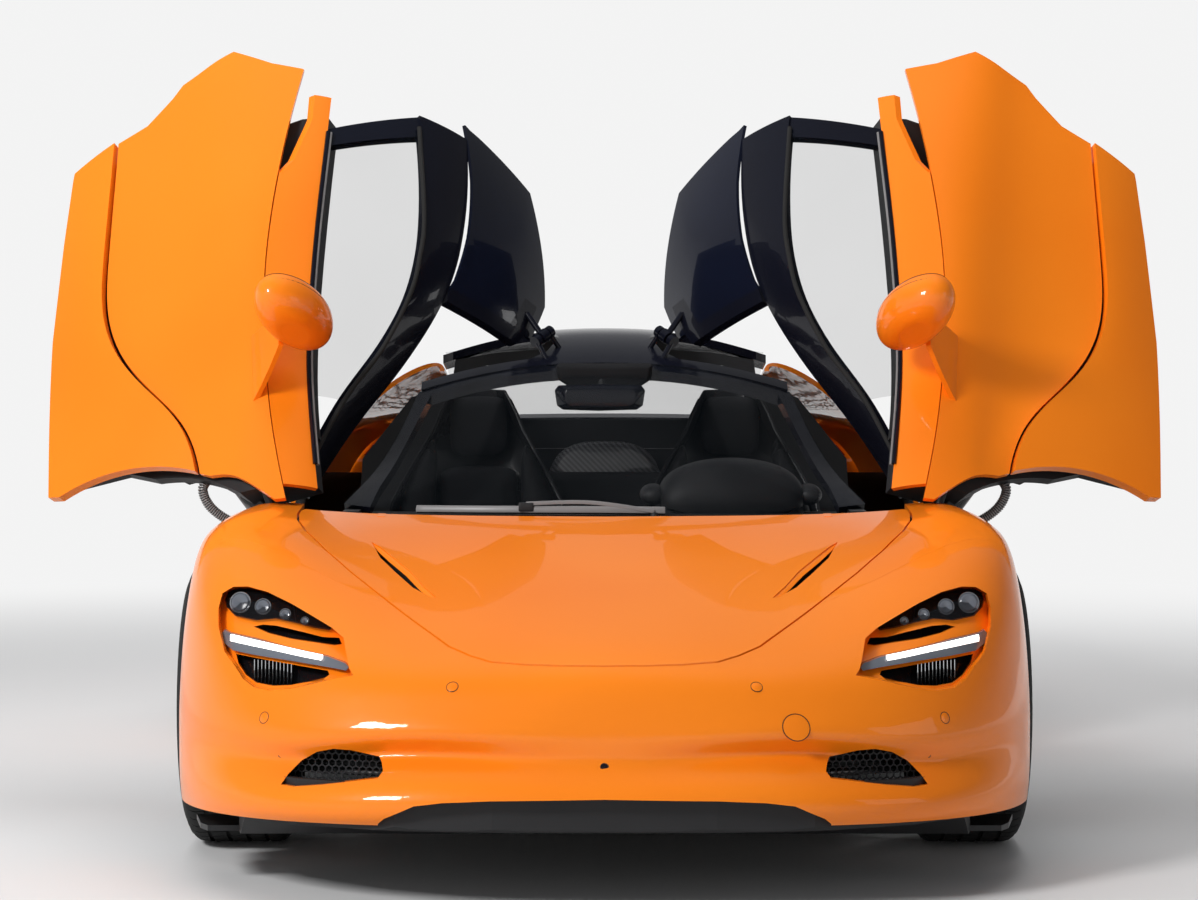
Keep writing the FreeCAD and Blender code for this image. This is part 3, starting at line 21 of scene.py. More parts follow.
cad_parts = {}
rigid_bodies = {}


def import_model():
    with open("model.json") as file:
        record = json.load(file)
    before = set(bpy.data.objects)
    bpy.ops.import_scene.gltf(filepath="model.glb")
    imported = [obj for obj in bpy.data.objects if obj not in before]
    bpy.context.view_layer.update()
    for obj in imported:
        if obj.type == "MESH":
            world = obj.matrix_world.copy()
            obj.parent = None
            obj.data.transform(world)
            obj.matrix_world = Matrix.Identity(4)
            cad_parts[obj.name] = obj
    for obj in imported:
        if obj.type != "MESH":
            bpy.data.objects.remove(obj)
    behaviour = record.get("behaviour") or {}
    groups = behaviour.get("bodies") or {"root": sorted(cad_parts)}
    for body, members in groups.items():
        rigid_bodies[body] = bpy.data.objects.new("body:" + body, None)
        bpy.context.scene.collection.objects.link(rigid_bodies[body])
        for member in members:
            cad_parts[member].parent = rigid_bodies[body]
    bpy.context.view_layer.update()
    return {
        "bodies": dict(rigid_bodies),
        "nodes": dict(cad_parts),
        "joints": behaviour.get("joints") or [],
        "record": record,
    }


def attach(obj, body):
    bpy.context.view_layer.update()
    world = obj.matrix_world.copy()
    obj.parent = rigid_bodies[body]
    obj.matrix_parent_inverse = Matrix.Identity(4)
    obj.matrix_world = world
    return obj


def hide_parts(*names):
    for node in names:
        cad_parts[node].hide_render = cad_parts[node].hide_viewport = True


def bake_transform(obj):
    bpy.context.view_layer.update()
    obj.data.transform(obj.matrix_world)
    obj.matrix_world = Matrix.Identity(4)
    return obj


LOG = logging.getLogger("supercar")

# Lengths that the CAD model was drawn to, in metres, and the front axle's place in the frame
LENGTH = 4.569
FRONT_OVERHANG = 1.045
FRONT_AXLE_Y = FRONT_OVERHANG - LENGTH / 2

CHASSIS = "chassis"
SHARP = 35.0
BACK = Vector((0, 1, 0))
UP = Vector((0, 0, 1))

# Places outside the car to look at its skin from, in millimetres
BEFORE_NOSE = -1500
BEHIND_TAIL = 4200
OVERHEAD = 1500

Colour = tuple[float, float, float]
Point = tuple[float, float, float]
Profile = Sequence[tuple[float, float]]


def at(x: float, y: float, z: float) -> Vector:
    """Point given from the front axle in millimetres, as metres in the frame."""
    return Vector((x / 1000, y / 1000 + FRONT_AXLE_Y, z / 1000))


def turns(count: int, start: float = 0.0) -> list[float]:
    """Even angles round a circle, the first a share of a step from zero."""
    return [2 * math.pi * (k + start) / count for k in range(count)]


# Even angles over half a turn
ARC = [math.pi * k / 16 for k in range(17)]


def lobe(value: float, power: float) -> float:
    """Sine or cosine made squarer by a power below one, with its sign kept."""
    return math.copysign(abs(value) ** power, value)


def pad_ring(across: float, up: float, place: Callable[[float, float], Vector]) -> list[Vector]:
    """Ring round a pad.

    Args:
        across: Power of the cosine. The ring is squarer the lower it is.
        up: Power of the sine.
        place: Gives the point at a share across and a share up, each from -1 to 1.

    Returns:
        Its points.
    """
    return [place(lobe(math.cos(t), across), lobe(math.sin(t), up)) for t in turns(16)]


def smooth_line(stations: Sequence[Sequence[float]], count: int) -> list[Vector]:
    """Even points on the smooth curve through stations of two or three coordinates."""
    out = []
    spans = len(stations) - 1
    for k in range(count):
        u = k / (count - 1) * spans
        i = min(int(u), spans - 1)
        t = u - i
        a, b, c, d = (stations[min(max(i + o, 0), spans)] for o in (-1, 0, 1, 2))
        out.append(Vector([
            0.5 * (2 * q + (r - p) * t + (2 * p - 5 * q + 4 * r - s) * t**2 + (3 * q - p - 3 * r + s) * t**3)
            for p, q, r, s in zip(a, b, c, d)
        ]))
    return out


class Side(Enum):
    """The two sides of the car, by the sign of x."""

    LEFT = 1
    RIGHT = -1

    @property
    def label(self) -> str:
        """Ending of the names of pieces on this side."""
        return self.name.lower()

    @property
    def out(self) -> Vector:
        """Direction away from the car's middle."""
        return Vector((self.value, 0, 0))

    def at(self, x: float, y: float, z: float) -> Vector:
        """Point on this side, given as it would be on the left."""
        return at(x * self.value, y, z)


def placed(name: str, data: Any) -> bpy.types.Object:
    """Object of some data, in the scene."""
    made = bpy.data.objects.new(name, data)
    bpy.context.scene.collection.objects.link(made)
    return made


def modified(made: bpy.types.Object, kind: str, **settings: Any) -> None:
    """Add a modifier with its settings."""
    modifier = made.modifiers.new(kind.lower(), kind)
    for key, value in settings.items():
        setattr(modifier, key, value)


def applied(piece: bpy.types.Object) -> bpy.types.Object:
    """Turn a piece with modifiers into a plain mesh."""
    graph = bpy.context.evaluated_depsgraph_get()
    mesh = bpy.data.meshes.new_from_object(piece.evaluated_get(graph))
    piece.modifiers.clear()
    piece.data = mesh
    return piece


def finished(made: bpy.types.Object, slot: str, body: str, sharp: float) -> bpy.types.Object:
    """Shade a piece smooth up to a sharp angle and let it ride on a body.

    Args:
        made: The piece.
        slot: The record's slot that its finish stands for; not used.
        body: The body it rides on, or nothing for a piece between two bodies, left on neither.
        sharp: Edges stay sharp above this angle in degrees.

    Returns:
        The piece.
    """
    for polygon in made.data.polygons:
        polygon.use_smooth = True
    made.data.set_sharp_from_angle(angle=math.radians(sharp))
    if body:
        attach(made, body)
    LOG.info("%s: %d faces on %s", made.name, len(made.data.polygons), body or "two bodies")
    return made


class Wire:
    """One output of a node tree, on which Python's operators add Math nodes."""

    def __init__(self, tree: "Nodes", socket: bpy.types.NodeSocket) -> None:
        """Wrap a socket of a tree."""
        self.tree = tree
        self.socket = socket

    def maths(self, operation: str, *others: Any) -> "Wire":
        """Math node with this wire as its first input."""
        return self.tree.node("ShaderNodeMath", {"operation": operation}, dict(enumerate((self, *others))))

    def __rsub__(self, other: float) -> "Wire":
        """Difference from a number."""
        return self.tree.node("ShaderNodeMath", {"operation": "SUBTRACT"}, {0: other, 1: self})

    __add__ = __radd__ = partialmethod(maths, "ADD")
    __sub__ = partialmethod(maths, "SUBTRACT")
    __mul__ = __rmul__ = partialmethod(maths, "MULTIPLY")
    __truediv__ = partialmethod(maths, "DIVIDE")
    __pow__ = partialmethod(maths, "POWER")
    __mod__ = partialmethod(maths, "FLOORED_MODULO")
    __lt__ = partialmethod(maths, "LESS_THAN")

    def step(self, low: float, high: float) -> "Wire":
        """Smooth step from 0 at low to 1 at high."""
        settings = {"interpolation_type": "SMOOTHSTEP"}
        return self.tree.node("ShaderNodeMapRange", settings, {0: self, 1: low, 2: high, 3: 0.0, 4: 1.0})


class Nodes:
    """A node tree under construction."""

    tree: bpy.types.NodeTree

    def feed(self, socket: bpy.types.NodeSocket, value: Any) -> None:
        """Link a wire to a socket or set its value, with alpha for a colour."""
        if isinstance(value, Wire):
            self.tree.links.new(value.socket, socket)
        else:
            socket.default_value = (*value, 1.0) if socket.type == "RGBA" else value

    def node(self, kind: str, settings: dict, inputs: dict, output: Any = 0) -> Wire:
        """Add any node.

        Args:
            kind: Blender's name of the node's type.
            settings: Its properties, set before its sockets.
            inputs: Values or wires by socket name or index.
            output: Name or index of the output to return.

        Returns:
            That output as a wire.
        """
        made = self.tree.nodes.new(kind)
        for key, value in settings.items():
            setattr(made, key, value)
        for key, value in inputs.items():
            self.feed(made.inputs[key], value)
        return Wire(self, made.outputs[output])


class Shader(Nodes):
    """A material's node tree under construction, on Object coordinates."""

    def __init__(self, name: str, **constants: Any) -> None:
        """Start a material with one Principled shader and the inputs that are the same all over."""
        self.material = bpy.data.materials.new(name)
        self.material.use_nodes = True
        self.tree = self.material.node_tree
        self.principled = self.tree.nodes["Principled BSDF"]
        self.place = self.node("ShaderNodeTexCoord", {}, {}, "Object")
        self.set(**constants)

    def noise(self, scale: float, detail: float) -> Wire:
        """Noise from 0 to 1, with a scale in features per metre and a detail in octaves."""
        inputs = {"Vector": self.place, "Scale": scale, "Detail": detail}
        return self.node("ShaderNodeTexNoise", {}, inputs, "Fac")

    def axis(self, name: str) -> Wire:
        """One coordinate of the place on the object."""
        return self.node("ShaderNodeSeparateXYZ", {}, {"Vector": self.place}, name)

    def blend(self, factor: Wire, first: Colour, second: Colour) -> Wire:
        """Colour between two, by a factor."""
        mixer = self.tree.nodes.new("ShaderNodeMix")
        mixer.data_type = "RGBA"
        sockets = [s for s in mixer.inputs if s.name in ("A", "B") and s.type == "RGBA"]
        for socket, value in zip([mixer.inputs["Factor"], *sockets], (factor, first, second)):
            self.feed(socket, value)
        return Wire(self, next(s for s in mixer.outputs if s.type == "RGBA"))

    def set(self, **values: Any) -> "Shader":
        """Link or set Principled inputs, with spaces as underscores."""
        for key, value in values.items():
            self.feed(self.principled.inputs[key.replace("_", " ")], value)
        return self

    def bump(self, height: Wire, distance: float, strength: float = 1.0) -> bpy.types.Material:
        """Raise the surface by a height from 0 to 1, of a distance in metres, and give the material."""
        inputs = {"Height": height, "Distance": distance, "Strength": strength}
        return self.set(Normal=self.node("ShaderNodeBump", {}, inputs, "Normal")).material


@dataclass(frozen=True)
class Finish:
    """A finish: the material is made once, and it stands for a slot of the record."""

    name: str
    slot: str
    colour: Colour

    @cached_property
    def material(self) -> bpy.types.Material:
        """Its material, built when it is first wanted."""
        return self.make()

    def make(self) -> bpy.types.Material:
        """Build the material, as each kind of finish does in its own way."""
        raise NotImplementedError


@dataclass(frozen=True)
class Paint(Finish):
    """Gloss body paint under clear lacquer."""

    deep: Colour
    roughness: float = 0.32
    coat: float = 0.65

    def make(self) -> bpy.types.Material:
        """Build the material."""
        shader = Shader(self.name, Coat_Weight=self.coat, Coat_Roughness=0.02, Specular_IOR_Level=0.12)
        cloud, peel, flake = shader.noise(1.6, 2.0), shader.noise(420.0, 2.0), shader.noise(2600.0, 1.0)
        shader.set(Base_Color=shader.blend(cloud.step(0.3, 0.7), self.deep, self.colour))
        return shader.set(Roughness=self.roughness + 0.10 * flake).bump(peel, 0.00002, 0.5)


@dataclass(frozen=True)
class Moulded(Finish):
    """Grained plastic, rubber or leather."""

    roughness: float = 0.55
    grain: float = 900.0
    depth: float = 0.00004
    sheen: float = 0.35

    def make(self) -> bpy.types.Material:
        """Build the material."""
        shader = Shader(self.name, Specular_IOR_Level=self.sheen)
        grain, worn = shader.noise(self.grain, 3.0), shader.noise(7.0, 3.0)
        lighter = tuple(min(1.0, c * 1.5 + 0.004) for c in self.colour)
        shader.set(Base_Color=shader.blend(worn, self.colour, lighter))
        return shader.set(Roughness=self.roughness - 0.12 + 0.24 * worn).bump(grain, self.depth)


@dataclass(frozen=True)
class Glass(Finish):
    """Tinted window glass that lets the cabin show."""

    alpha: float

    def make(self) -> bpy.types.Material:
        """Build the material."""
        shader = Shader(self.name, Roughness=0.02, IOR=1.45, Specular_IOR_Level=0.3)
        shader.set(Base_Color=self.colour, Alpha=self.alpha + 0.03 * shader.noise(3.0, 2.0))
        shader.material.surface_render_method = "DITHERED"
        return shader.material


@dataclass(frozen=True)
class Weave(Finish):
    """Twill of carbon tows under clear resin."""

    dark: Colour
    tow: float = 0.004

    def make(self) -> bpy.types.Material:
        """Build the material."""
        shader = Shader(self.name, Coat_Weight=0.8, Coat_Roughness=0.05, Specular_IOR_Level=0.3)
        column, row = (shader.axis(name) / self.tow for name in "XZ")
        over = ((column + row) % 4.0) < 2.0
        crown = (over * (column % 1.0) + (1.0 - over) * (row % 1.0)) * math.pi
        height = crown.maths("SINE").maths("ABSOLUTE")
        # The base colour follows the twill's over and under tows, a real pattern, plus painted sheen that
        # lightens each tow's crown.
        shader.set(Base_Color=shader.blend(over * 0.6 + height * 0.4, self.dark, self.colour))
        return shader.set(Roughness=0.38 - 0.12 * height).bump(height, 0.00008)


@dataclass(frozen=True)
class Metal(Finish):
    """Machined or cast metal."""

    roughness: float
    grain: float = 160.0

    def make(self) -> bpy.types.Material:
        """Build the material."""
        shader = Shader(self.name, Metallic=1.0)
        grain = shader.noise(self.grain, 4.0)
        shader.set(Base_Color=shader.blend(grain, tuple(c * 0.75 for c in self.colour), self.colour))
        return shader.set(Roughness=self.roughness - 0.08 + 0.16 * grain).bump(grain, 0.00008)


@dataclass(frozen=True)
class Glow(Finish):
    """Lit element under a clear cover."""

    strength: float

    def make(self) -> bpy.types.Material:
        """Build the material."""
        shader = Shader(self.name, Base_Color=self.colour, Roughness=0.25, Emission_Strength=self.strength)
        cells = (shader.axis("X") * 130.0).maths("SINE").maths("ABSOLUTE").step(0.05, 0.35)
        dim = tuple(c * 0.6 for c in self.colour)
        return shader.set(Emission_Color=shader.blend(cells, dim, self.colour)).material


ORANGE = Paint("orange paint", "paint", (0.96, 0.235, 0.008), (0.93, 0.210, 0.005))
GLOSS_BLACK = Paint("gloss black", "dark_paint", (0.005, 0.006, 0.012), (0.004, 0.004, 0.008), 0.2, 0.45)
ROOF_GLASS = Paint("roof glass", "dark_paint", (0.005, 0.007, 0.018), (0.004, 0.005, 0.010), 0.12, 0.8)
TRIM = Moulded("moulded trim", "trim", (0.009, 0.009, 0.010))
CARBON = Moulded("carbon tub", "carbon", (0.008, 0.008, 0.009), 0.4)
# The weave's lighter grey serves both the twill pattern and the painted sheen on the tow crowns.
WEAVE = Weave("carbon weave", "carbon", (0.11, 0.11, 0.115), (0.016, 0.016, 0.018))
LEATHER = Moulded("leather", "leather", (0.008, 0.008, 0.009), 0.55, 600.0, 0.00006, 0.25)
RUBBER = Moulded("tyre rubber", "tyre", (0.012, 0.012, 0.012), 0.8, 700.0, 0.00008, 0.25)
WINDOW = Glass("window glass", "glass", (0.010, 0.013, 0.016), 0.10)
LENS = Glass("lamp lens", "lens", (0.010, 0.010, 0.012), 0.45)
RED_LENS = Moulded("red lens", "red_lens", (0.25, 0.005, 0.004), 0.15, 90.0, 0.00004, 0.5)
ALLOY = Metal("dark alloy", "alloy", (0.05, 0.05, 0.055), 0.3)
CAST = Metal("cast aluminium", "cast", (0.35, 0.35, 0.36), 0.5)
STEEL = Metal("steel", "steel", (0.42, 0.42, 0.43), 0.35)
CHROME = Metal("chrome", "steel", (0.72, 0.73, 0.75), 0.14, 40.0)
MIRROR = Metal("mirror", "glass", (0.80, 0.81, 0.83), 0.09, 20.0)
SATIN = Moulded("satin grey", "trim", (0.16, 0.155, 0.155), 0.38, 500.0, 0.00003, 0.5)
SUEDE = Moulded("suede", "trim", (0.010, 0.010, 0.011), 0.9, 900.0, 0.00005, 0.1)
SEAT_SHELL = Moulded("seat shell", "leather", (0.007, 0.007, 0.008), 0.3, 400.0, 0.00003, 0.4)
CRYSTAL = Moulded("projector glass", "lens", (0.10, 0.11, 0.13), 0.12, 60.0, 0.00002, 0.6)
LIGHT = Glow("white light", "light", (1.0, 0.97, 0.93), 2.2)
RED_LIGHT = Glow("red light", "red_lens", (0.75, 0.015, 0.01), 0.8)


class Form:
    """Mesh of one piece under construction, from points in metres in the frame."""

    def __init__(self) -> None:
        """Start an empty mesh."""
        self.mesh = bmesh.new()

    def loft(self, rings: Sequence[Sequence[Vector]], closed: bool = True, capped: bool = True) -> "Form":
        """Join rings of equal numbers of points.

        Args:
            rings: Rings or open rows of points.
            closed: Whether each ring closes on itself.
            capped: Whether the first and last rings are filled.

        Returns:
            This form.
        """
        rows = [[self.mesh.verts.new(point) for point in ring] for ring in rings]
        count = len(rows[0])
        for low, high in zip(rows, rows[1:]):
            for k in range(count if closed else count - 1):
                self.mesh.faces.new((low[k], low[(k + 1) % count], high[(k + 1) % count], high[k]))
        if capped and closed:
            self.mesh.faces.new(rows[0][::-1])
            self.mesh.faces.new(rows[-1])
        return self

    def sheet(self, rows: Sequence[Sequence[Vector]]) -> "Form":
        """Open sheet through rows of points."""
        return self.loft(rows, closed=False)

    def hoop(self, rings: Sequence[Sequence[Vector]]) -> "Form":
        """Join rings, the last one to the first."""
        return self.loft([*rings, rings[0]], capped=False)

    def sweep(self, path: Sequence[Vector], profile: Profile, up: Vector = UP) -> "Form":
        """Draw a closed profile of (sideways, upwards) offsets along a path."""
        rings = []
        for k, point in enumerate(path):
            ahead = (path[min(k + 1, len(path) - 1)] - path[max(k - 1, 0)]).normalized()
            side = ahead.cross(up).normalized()
            over = side.cross(ahead).normalized()
            rings.append([point + side * a + over * b for a, b in profile])
        return self.loft(rings)

    def tube(self, path: Sequence[Vector], radius: float, sides: int = 10) -> "Form":
        """Round tube along a path that doesn't run near the tilted upright used here."""
        profile = [(radius * math.cos(t), radius * math.sin(t)) for t in turns(sides)]
        return self.sweep(path, profile, Vector((0.13, 0.21, 0.97)))

    def turn(self, centre: Vector, axis: Vector, profile: Profile, steps: int = 32) -> "Form":
        """Revolve a closed profile of (along the axis, radius) about an axis."""
        axis = axis.normalized()
        first = axis.orthogonal().normalized()
        second = axis.cross(first)
        outs = [first * math.cos(t) + second * math.sin(t) for t in turns(steps)]
        return self.hoop([[centre + axis * a + out * r for a, r in profile] for out in outs])

    def slab(self, corners: Sequence[Vector], thickness: Vector) -> "Form":
        """Flat plate through corners, made thick by a vector."""
        return self.loft([list(corners), [corner + thickness for corner in corners]])

    def line(self, path: Sequence[Vector]) -> "Form":
        """Bare edges along a path."""
        corners = [self.mesh.verts.new(point) for point in path]
        for start, end in zip(corners, corners[1:]):
            self.mesh.edges.new((start, end))
        return self

    def plain(self, name: str) -> bpy.types.Object:
        """Clean the mesh and make an object of it."""
        bmesh.ops.remove_doubles(self.mesh, verts=self.mesh.verts, dist=1e-6)
        bmesh.ops.recalc_face_normals(self.mesh, faces=self.mesh.faces)
        data = bpy.data.meshes.new(name)
        self.mesh.to_mesh(data)
        self.mesh.free()
        return placed(name, data)

    def piece(self, name: str, finish: Finish, body: str = CHASSIS, slot: str = "", bevel: float = 0.0,
              smooth: int = 0, wall: float = 0.0, sharp: float = SHARP,
              repeat: "type[Repeater] | None" = None, **values: Any) -> bpy.types.Object:
        """Finish the mesh as a piece that rides on a body.

        Args:
            name: Piece name.
            finish: Its finish.
            body: The body it rides on, or nothing for a piece between two bodies, left on neither.
            slot: The record's slot, where it isn't the finish's own.
            bevel: Width of the rounding of its edges.
            smooth: Levels of subdivision.
            wall: Thickness given to an open sheet.
            sharp: Edges stay sharp above this angle in degrees.
            repeat: How the mesh is repeated, where it is one copy at its first place or a path to follow.
            values: The repeater's inputs, with spaces as underscores.

        Returns:
            The object.
        """
        made = self.plain(name)
        if repeat:
            modified(made, "NODES", node_group=repeater(repeat).tree)
            for label, value in {**values, "Material": finish.material}.items():
                made.modifiers[0][repeater(repeat).keys[label.replace("_", " ")]] = value
        else:
            made.data.materials.append(finish.material)
        if wall:
            modified(made, "SOLIDIFY", thickness=wall, offset=0.0)
        if bevel:
            modified(made, "BEVEL", width=bevel, segments=2, limit_method="ANGLE")
        if smooth:
            modified(made, "SUBSURF", levels=smooth, render_levels=smooth)
        if made.modifiers:
            applied(made)
        return finished(made, slot or finish.slot, body, sharp)


class Repeater(Nodes):
    """Geometry Nodes tree that copies one mesh to many places and gives the copies a material."""

    SOCKETS: dict[str, str]

    def __init__(self) -> None:
        """Build the tree with its named inputs."""
        self.tree = bpy.data.node_groups.new(type(self).__name__, "GeometryNodeTree")
        face = self.tree.interface
        self.keys: dict[str, str] = {}
        for label, kind in {"Geometry": "Geometry", **self.SOCKETS, "Material": "Material"}.items():
            socket = face.new_socket(name=label, in_out="INPUT", socket_type="NodeSocket" + kind)
            self.keys[label] = socket.identifier
        face.new_socket(name="Geometry", in_out="OUTPUT", socket_type="NodeSocketGeometry")
        self.group_input = self.tree.nodes.new("NodeGroupInput")
        group_output = self.tree.nodes.new("NodeGroupOutput")
        solid = self.node("GeometryNodeRealizeInstances", {}, {"Geometry": self.places()})
        look = {"Geometry": solid, "Material": self.given("Material")}
        dressed = self.node("GeometryNodeSetMaterial", {}, look)
        self.feed(group_output.inputs[0], dressed)

    def given(self, label: str) -> Wire:
        """A named input of the tree."""
        return Wire(self, self.group_input.outputs[label])

    def places(self) -> Wire:
        """The copies as instances, which each repeater places in its own way."""
        raise NotImplementedError

    def vector(self, operation: str, first: Any, second: Any) -> Wire:
        """Vector maths: the second value is a number for SCALE and a vector otherwise."""
        slot = 3 if operation == "SCALE" else 1
        return self.node("ShaderNodeVectorMath", {"operation": operation}, {0: first, slot: second})

    def index(self) -> Wire:
        """Number of the copy, from zero."""
        return self.node("GeometryNodeInputIndex", {}, {})

    def copies(self, **inputs: Wire) -> Wire:
        """Instances on points."""
        return self.node("GeometryNodeInstanceOnPoints", {}, inputs)


class RingRepeater(Repeater):
    """Copies all the way round an axis."""

    SOCKETS = {"Count": "Int", "Centre": "Vector", "Axis": "Vector"}

    def places(self) -> Wire:
        """Turn each copy about the axis by its share of a whole turn."""
        centre, count = self.given("Centre"), self.given("Count")
        shift = {"Geometry": self.given("Geometry"), "Translation": self.vector("SCALE", centre, -1.0)}
        moved = self.node("GeometryNodeTransform", {}, shift)
        points = self.node("GeometryNodePoints", {}, {"Count": count, "Position": centre})
        angle = self.index() * (2 * math.pi) / count
        turn = self.node("FunctionNodeAxisAngleToRotation", {}, {"Axis": self.given("Axis"), "Angle": angle})
        return self.copies(Points=points, Instance=moved, Rotation=turn)


class GridRepeater(Repeater):
    """Copies in rows, each row a step from the last and every second row shifted."""

    SOCKETS = {
        "Count": "Int", "Rows": "Int", "Start": "Vector", "Step": "Vector", "Row Step": "Vector",
        "Odd Shift": "Vector", "Bow": "Float",
    }

    def places(self) -> Wire:
        """Move each copy by its column and row, and forwards by the bow times the square of x."""
        column = self.index() % self.given("Count")
        row = (self.index() / self.given("Count")).maths("FLOOR")
        place = self.given("Start")
        for label, share in (("Step", column), ("Row Step", row), ("Odd Shift", row % 2.0)):
            place = self.vector("ADD", place, self.vector("SCALE", self.given(label), share))
        across = self.node("ShaderNodeSeparateXYZ", {}, {"Vector": place}, "X")
        back = self.node("ShaderNodeCombineXYZ", {}, {"Y": across * across * self.given("Bow") * -1.0})
        total = self.given("Count") * self.given("Rows")
        spots = {"Count": total, "Position": self.vector("ADD", place, back)}
        points = self.node("GeometryNodePoints", {}, spots)
        return self.copies(Points=points, Instance=self.given("Geometry"))


class PathRepeater(Repeater):
    """Short round beads along a path, such as stitches or the rings of a conduit."""

    SOCKETS = {"Spacing": "Float", "Length": "Float", "Radius": "Float"}

    def places(self) -> Wire:
        """Stand a bead on the path at each spacing."""
        curve = self.node("GeometryNodeMeshToCurve", {}, {"Mesh": self.given("Geometry")})
        even = {"Curve": curve, "Length": self.given("Spacing")}
        points = self.node("GeometryNodeResampleCurve", {"mode": "LENGTH"}, even)
        along = self.node("GeometryNodeInputTangent", {}, {})
        turn = self.node("FunctionNodeAlignRotationToVector", {"axis": "Z"}, {"Vector": along})
        size = {"Vertices": 10, "Radius": self.given("Radius"), "Depth": self.given("Length")}
        bead = self.node("GeometryNodeMeshCylinder", {}, size)
        return self.copies(Points=points, Instance=bead, Rotation=turn)


@cache
def repeater(kind: type[Repeater]) -> Repeater:
    """The one tree of a kind, built when it is first wanted."""
    return kind()


# Step and walls of a honeycomb as shares of a cell's radius, and its rows as a share of the step
PITCH = 1.73
CELL_WALL = 0.2
ROW_PITCH = 0.866


def honeycomb(name: str, radius: float, depth: float, start: Vector, along: Vector, columns: int, rows: int,
              bow: float = 0.0) -> None:
    """Mesh of six-sided cells in staggered rows, as one piece of trim.

    Args:
        name: Piece name.
        radius: A cell's radius in metres.
        depth: How far back the cells reach, in metres.
        start: Middle of the first cell.
        along: Direction of the rows.
        columns: Cells in a row.
        rows: Number of rows.
        bow: How much the mesh bows forwards, by the square of x.
    """
    inner = radius * (1 - CELL_WALL)
    rings = [[(along * math.cos(t) + UP * math.sin(t)) * reach + BACK * y for t in turns(6, 0.5)]
             for reach, y in ((radius, 0.0), (inner, 0.0), (inner, depth), (radius, depth))]
    step = along * radius * PITCH
    Form().hoop(rings).piece(name, TRIM, repeat=GridRepeater, Count=columns, Rows=rows, Start=start, Bow=bow,
                             Step=step, Row_Step=UP * step.length * ROW_PITCH, Odd_Shift=step / 2)


class Skin:
    """Surface of one or more CAD nodes, to place small pieces on."""

    def __init__(self, frame: dict, *names: str) -> None:
        """Read the nodes' meshes."""
        self.trees = []
        for name in names:
            node = frame["nodes"][name]
            corners = [node.matrix_world @ vertex.co for vertex in node.data.vertices]
            self.trees.append(BVHTree.FromPolygons(corners, [list(p.vertices) for p in node.data.polygons]))

    def hit(self, start: Vector, direction: Vector) -> tuple[Vector, Vector]:
        """Nearest place that a ray meets, and the surface's normal there against the ray."""
        found = [tree.ray_cast(start, direction.normalized()) for tree in self.trees]
        place, normal, _, _ = min((hit for hit in found if hit[0] is not None), key=lambda hit: hit[3])
        return place, normal if normal.dot(direction) < 0 else -normal


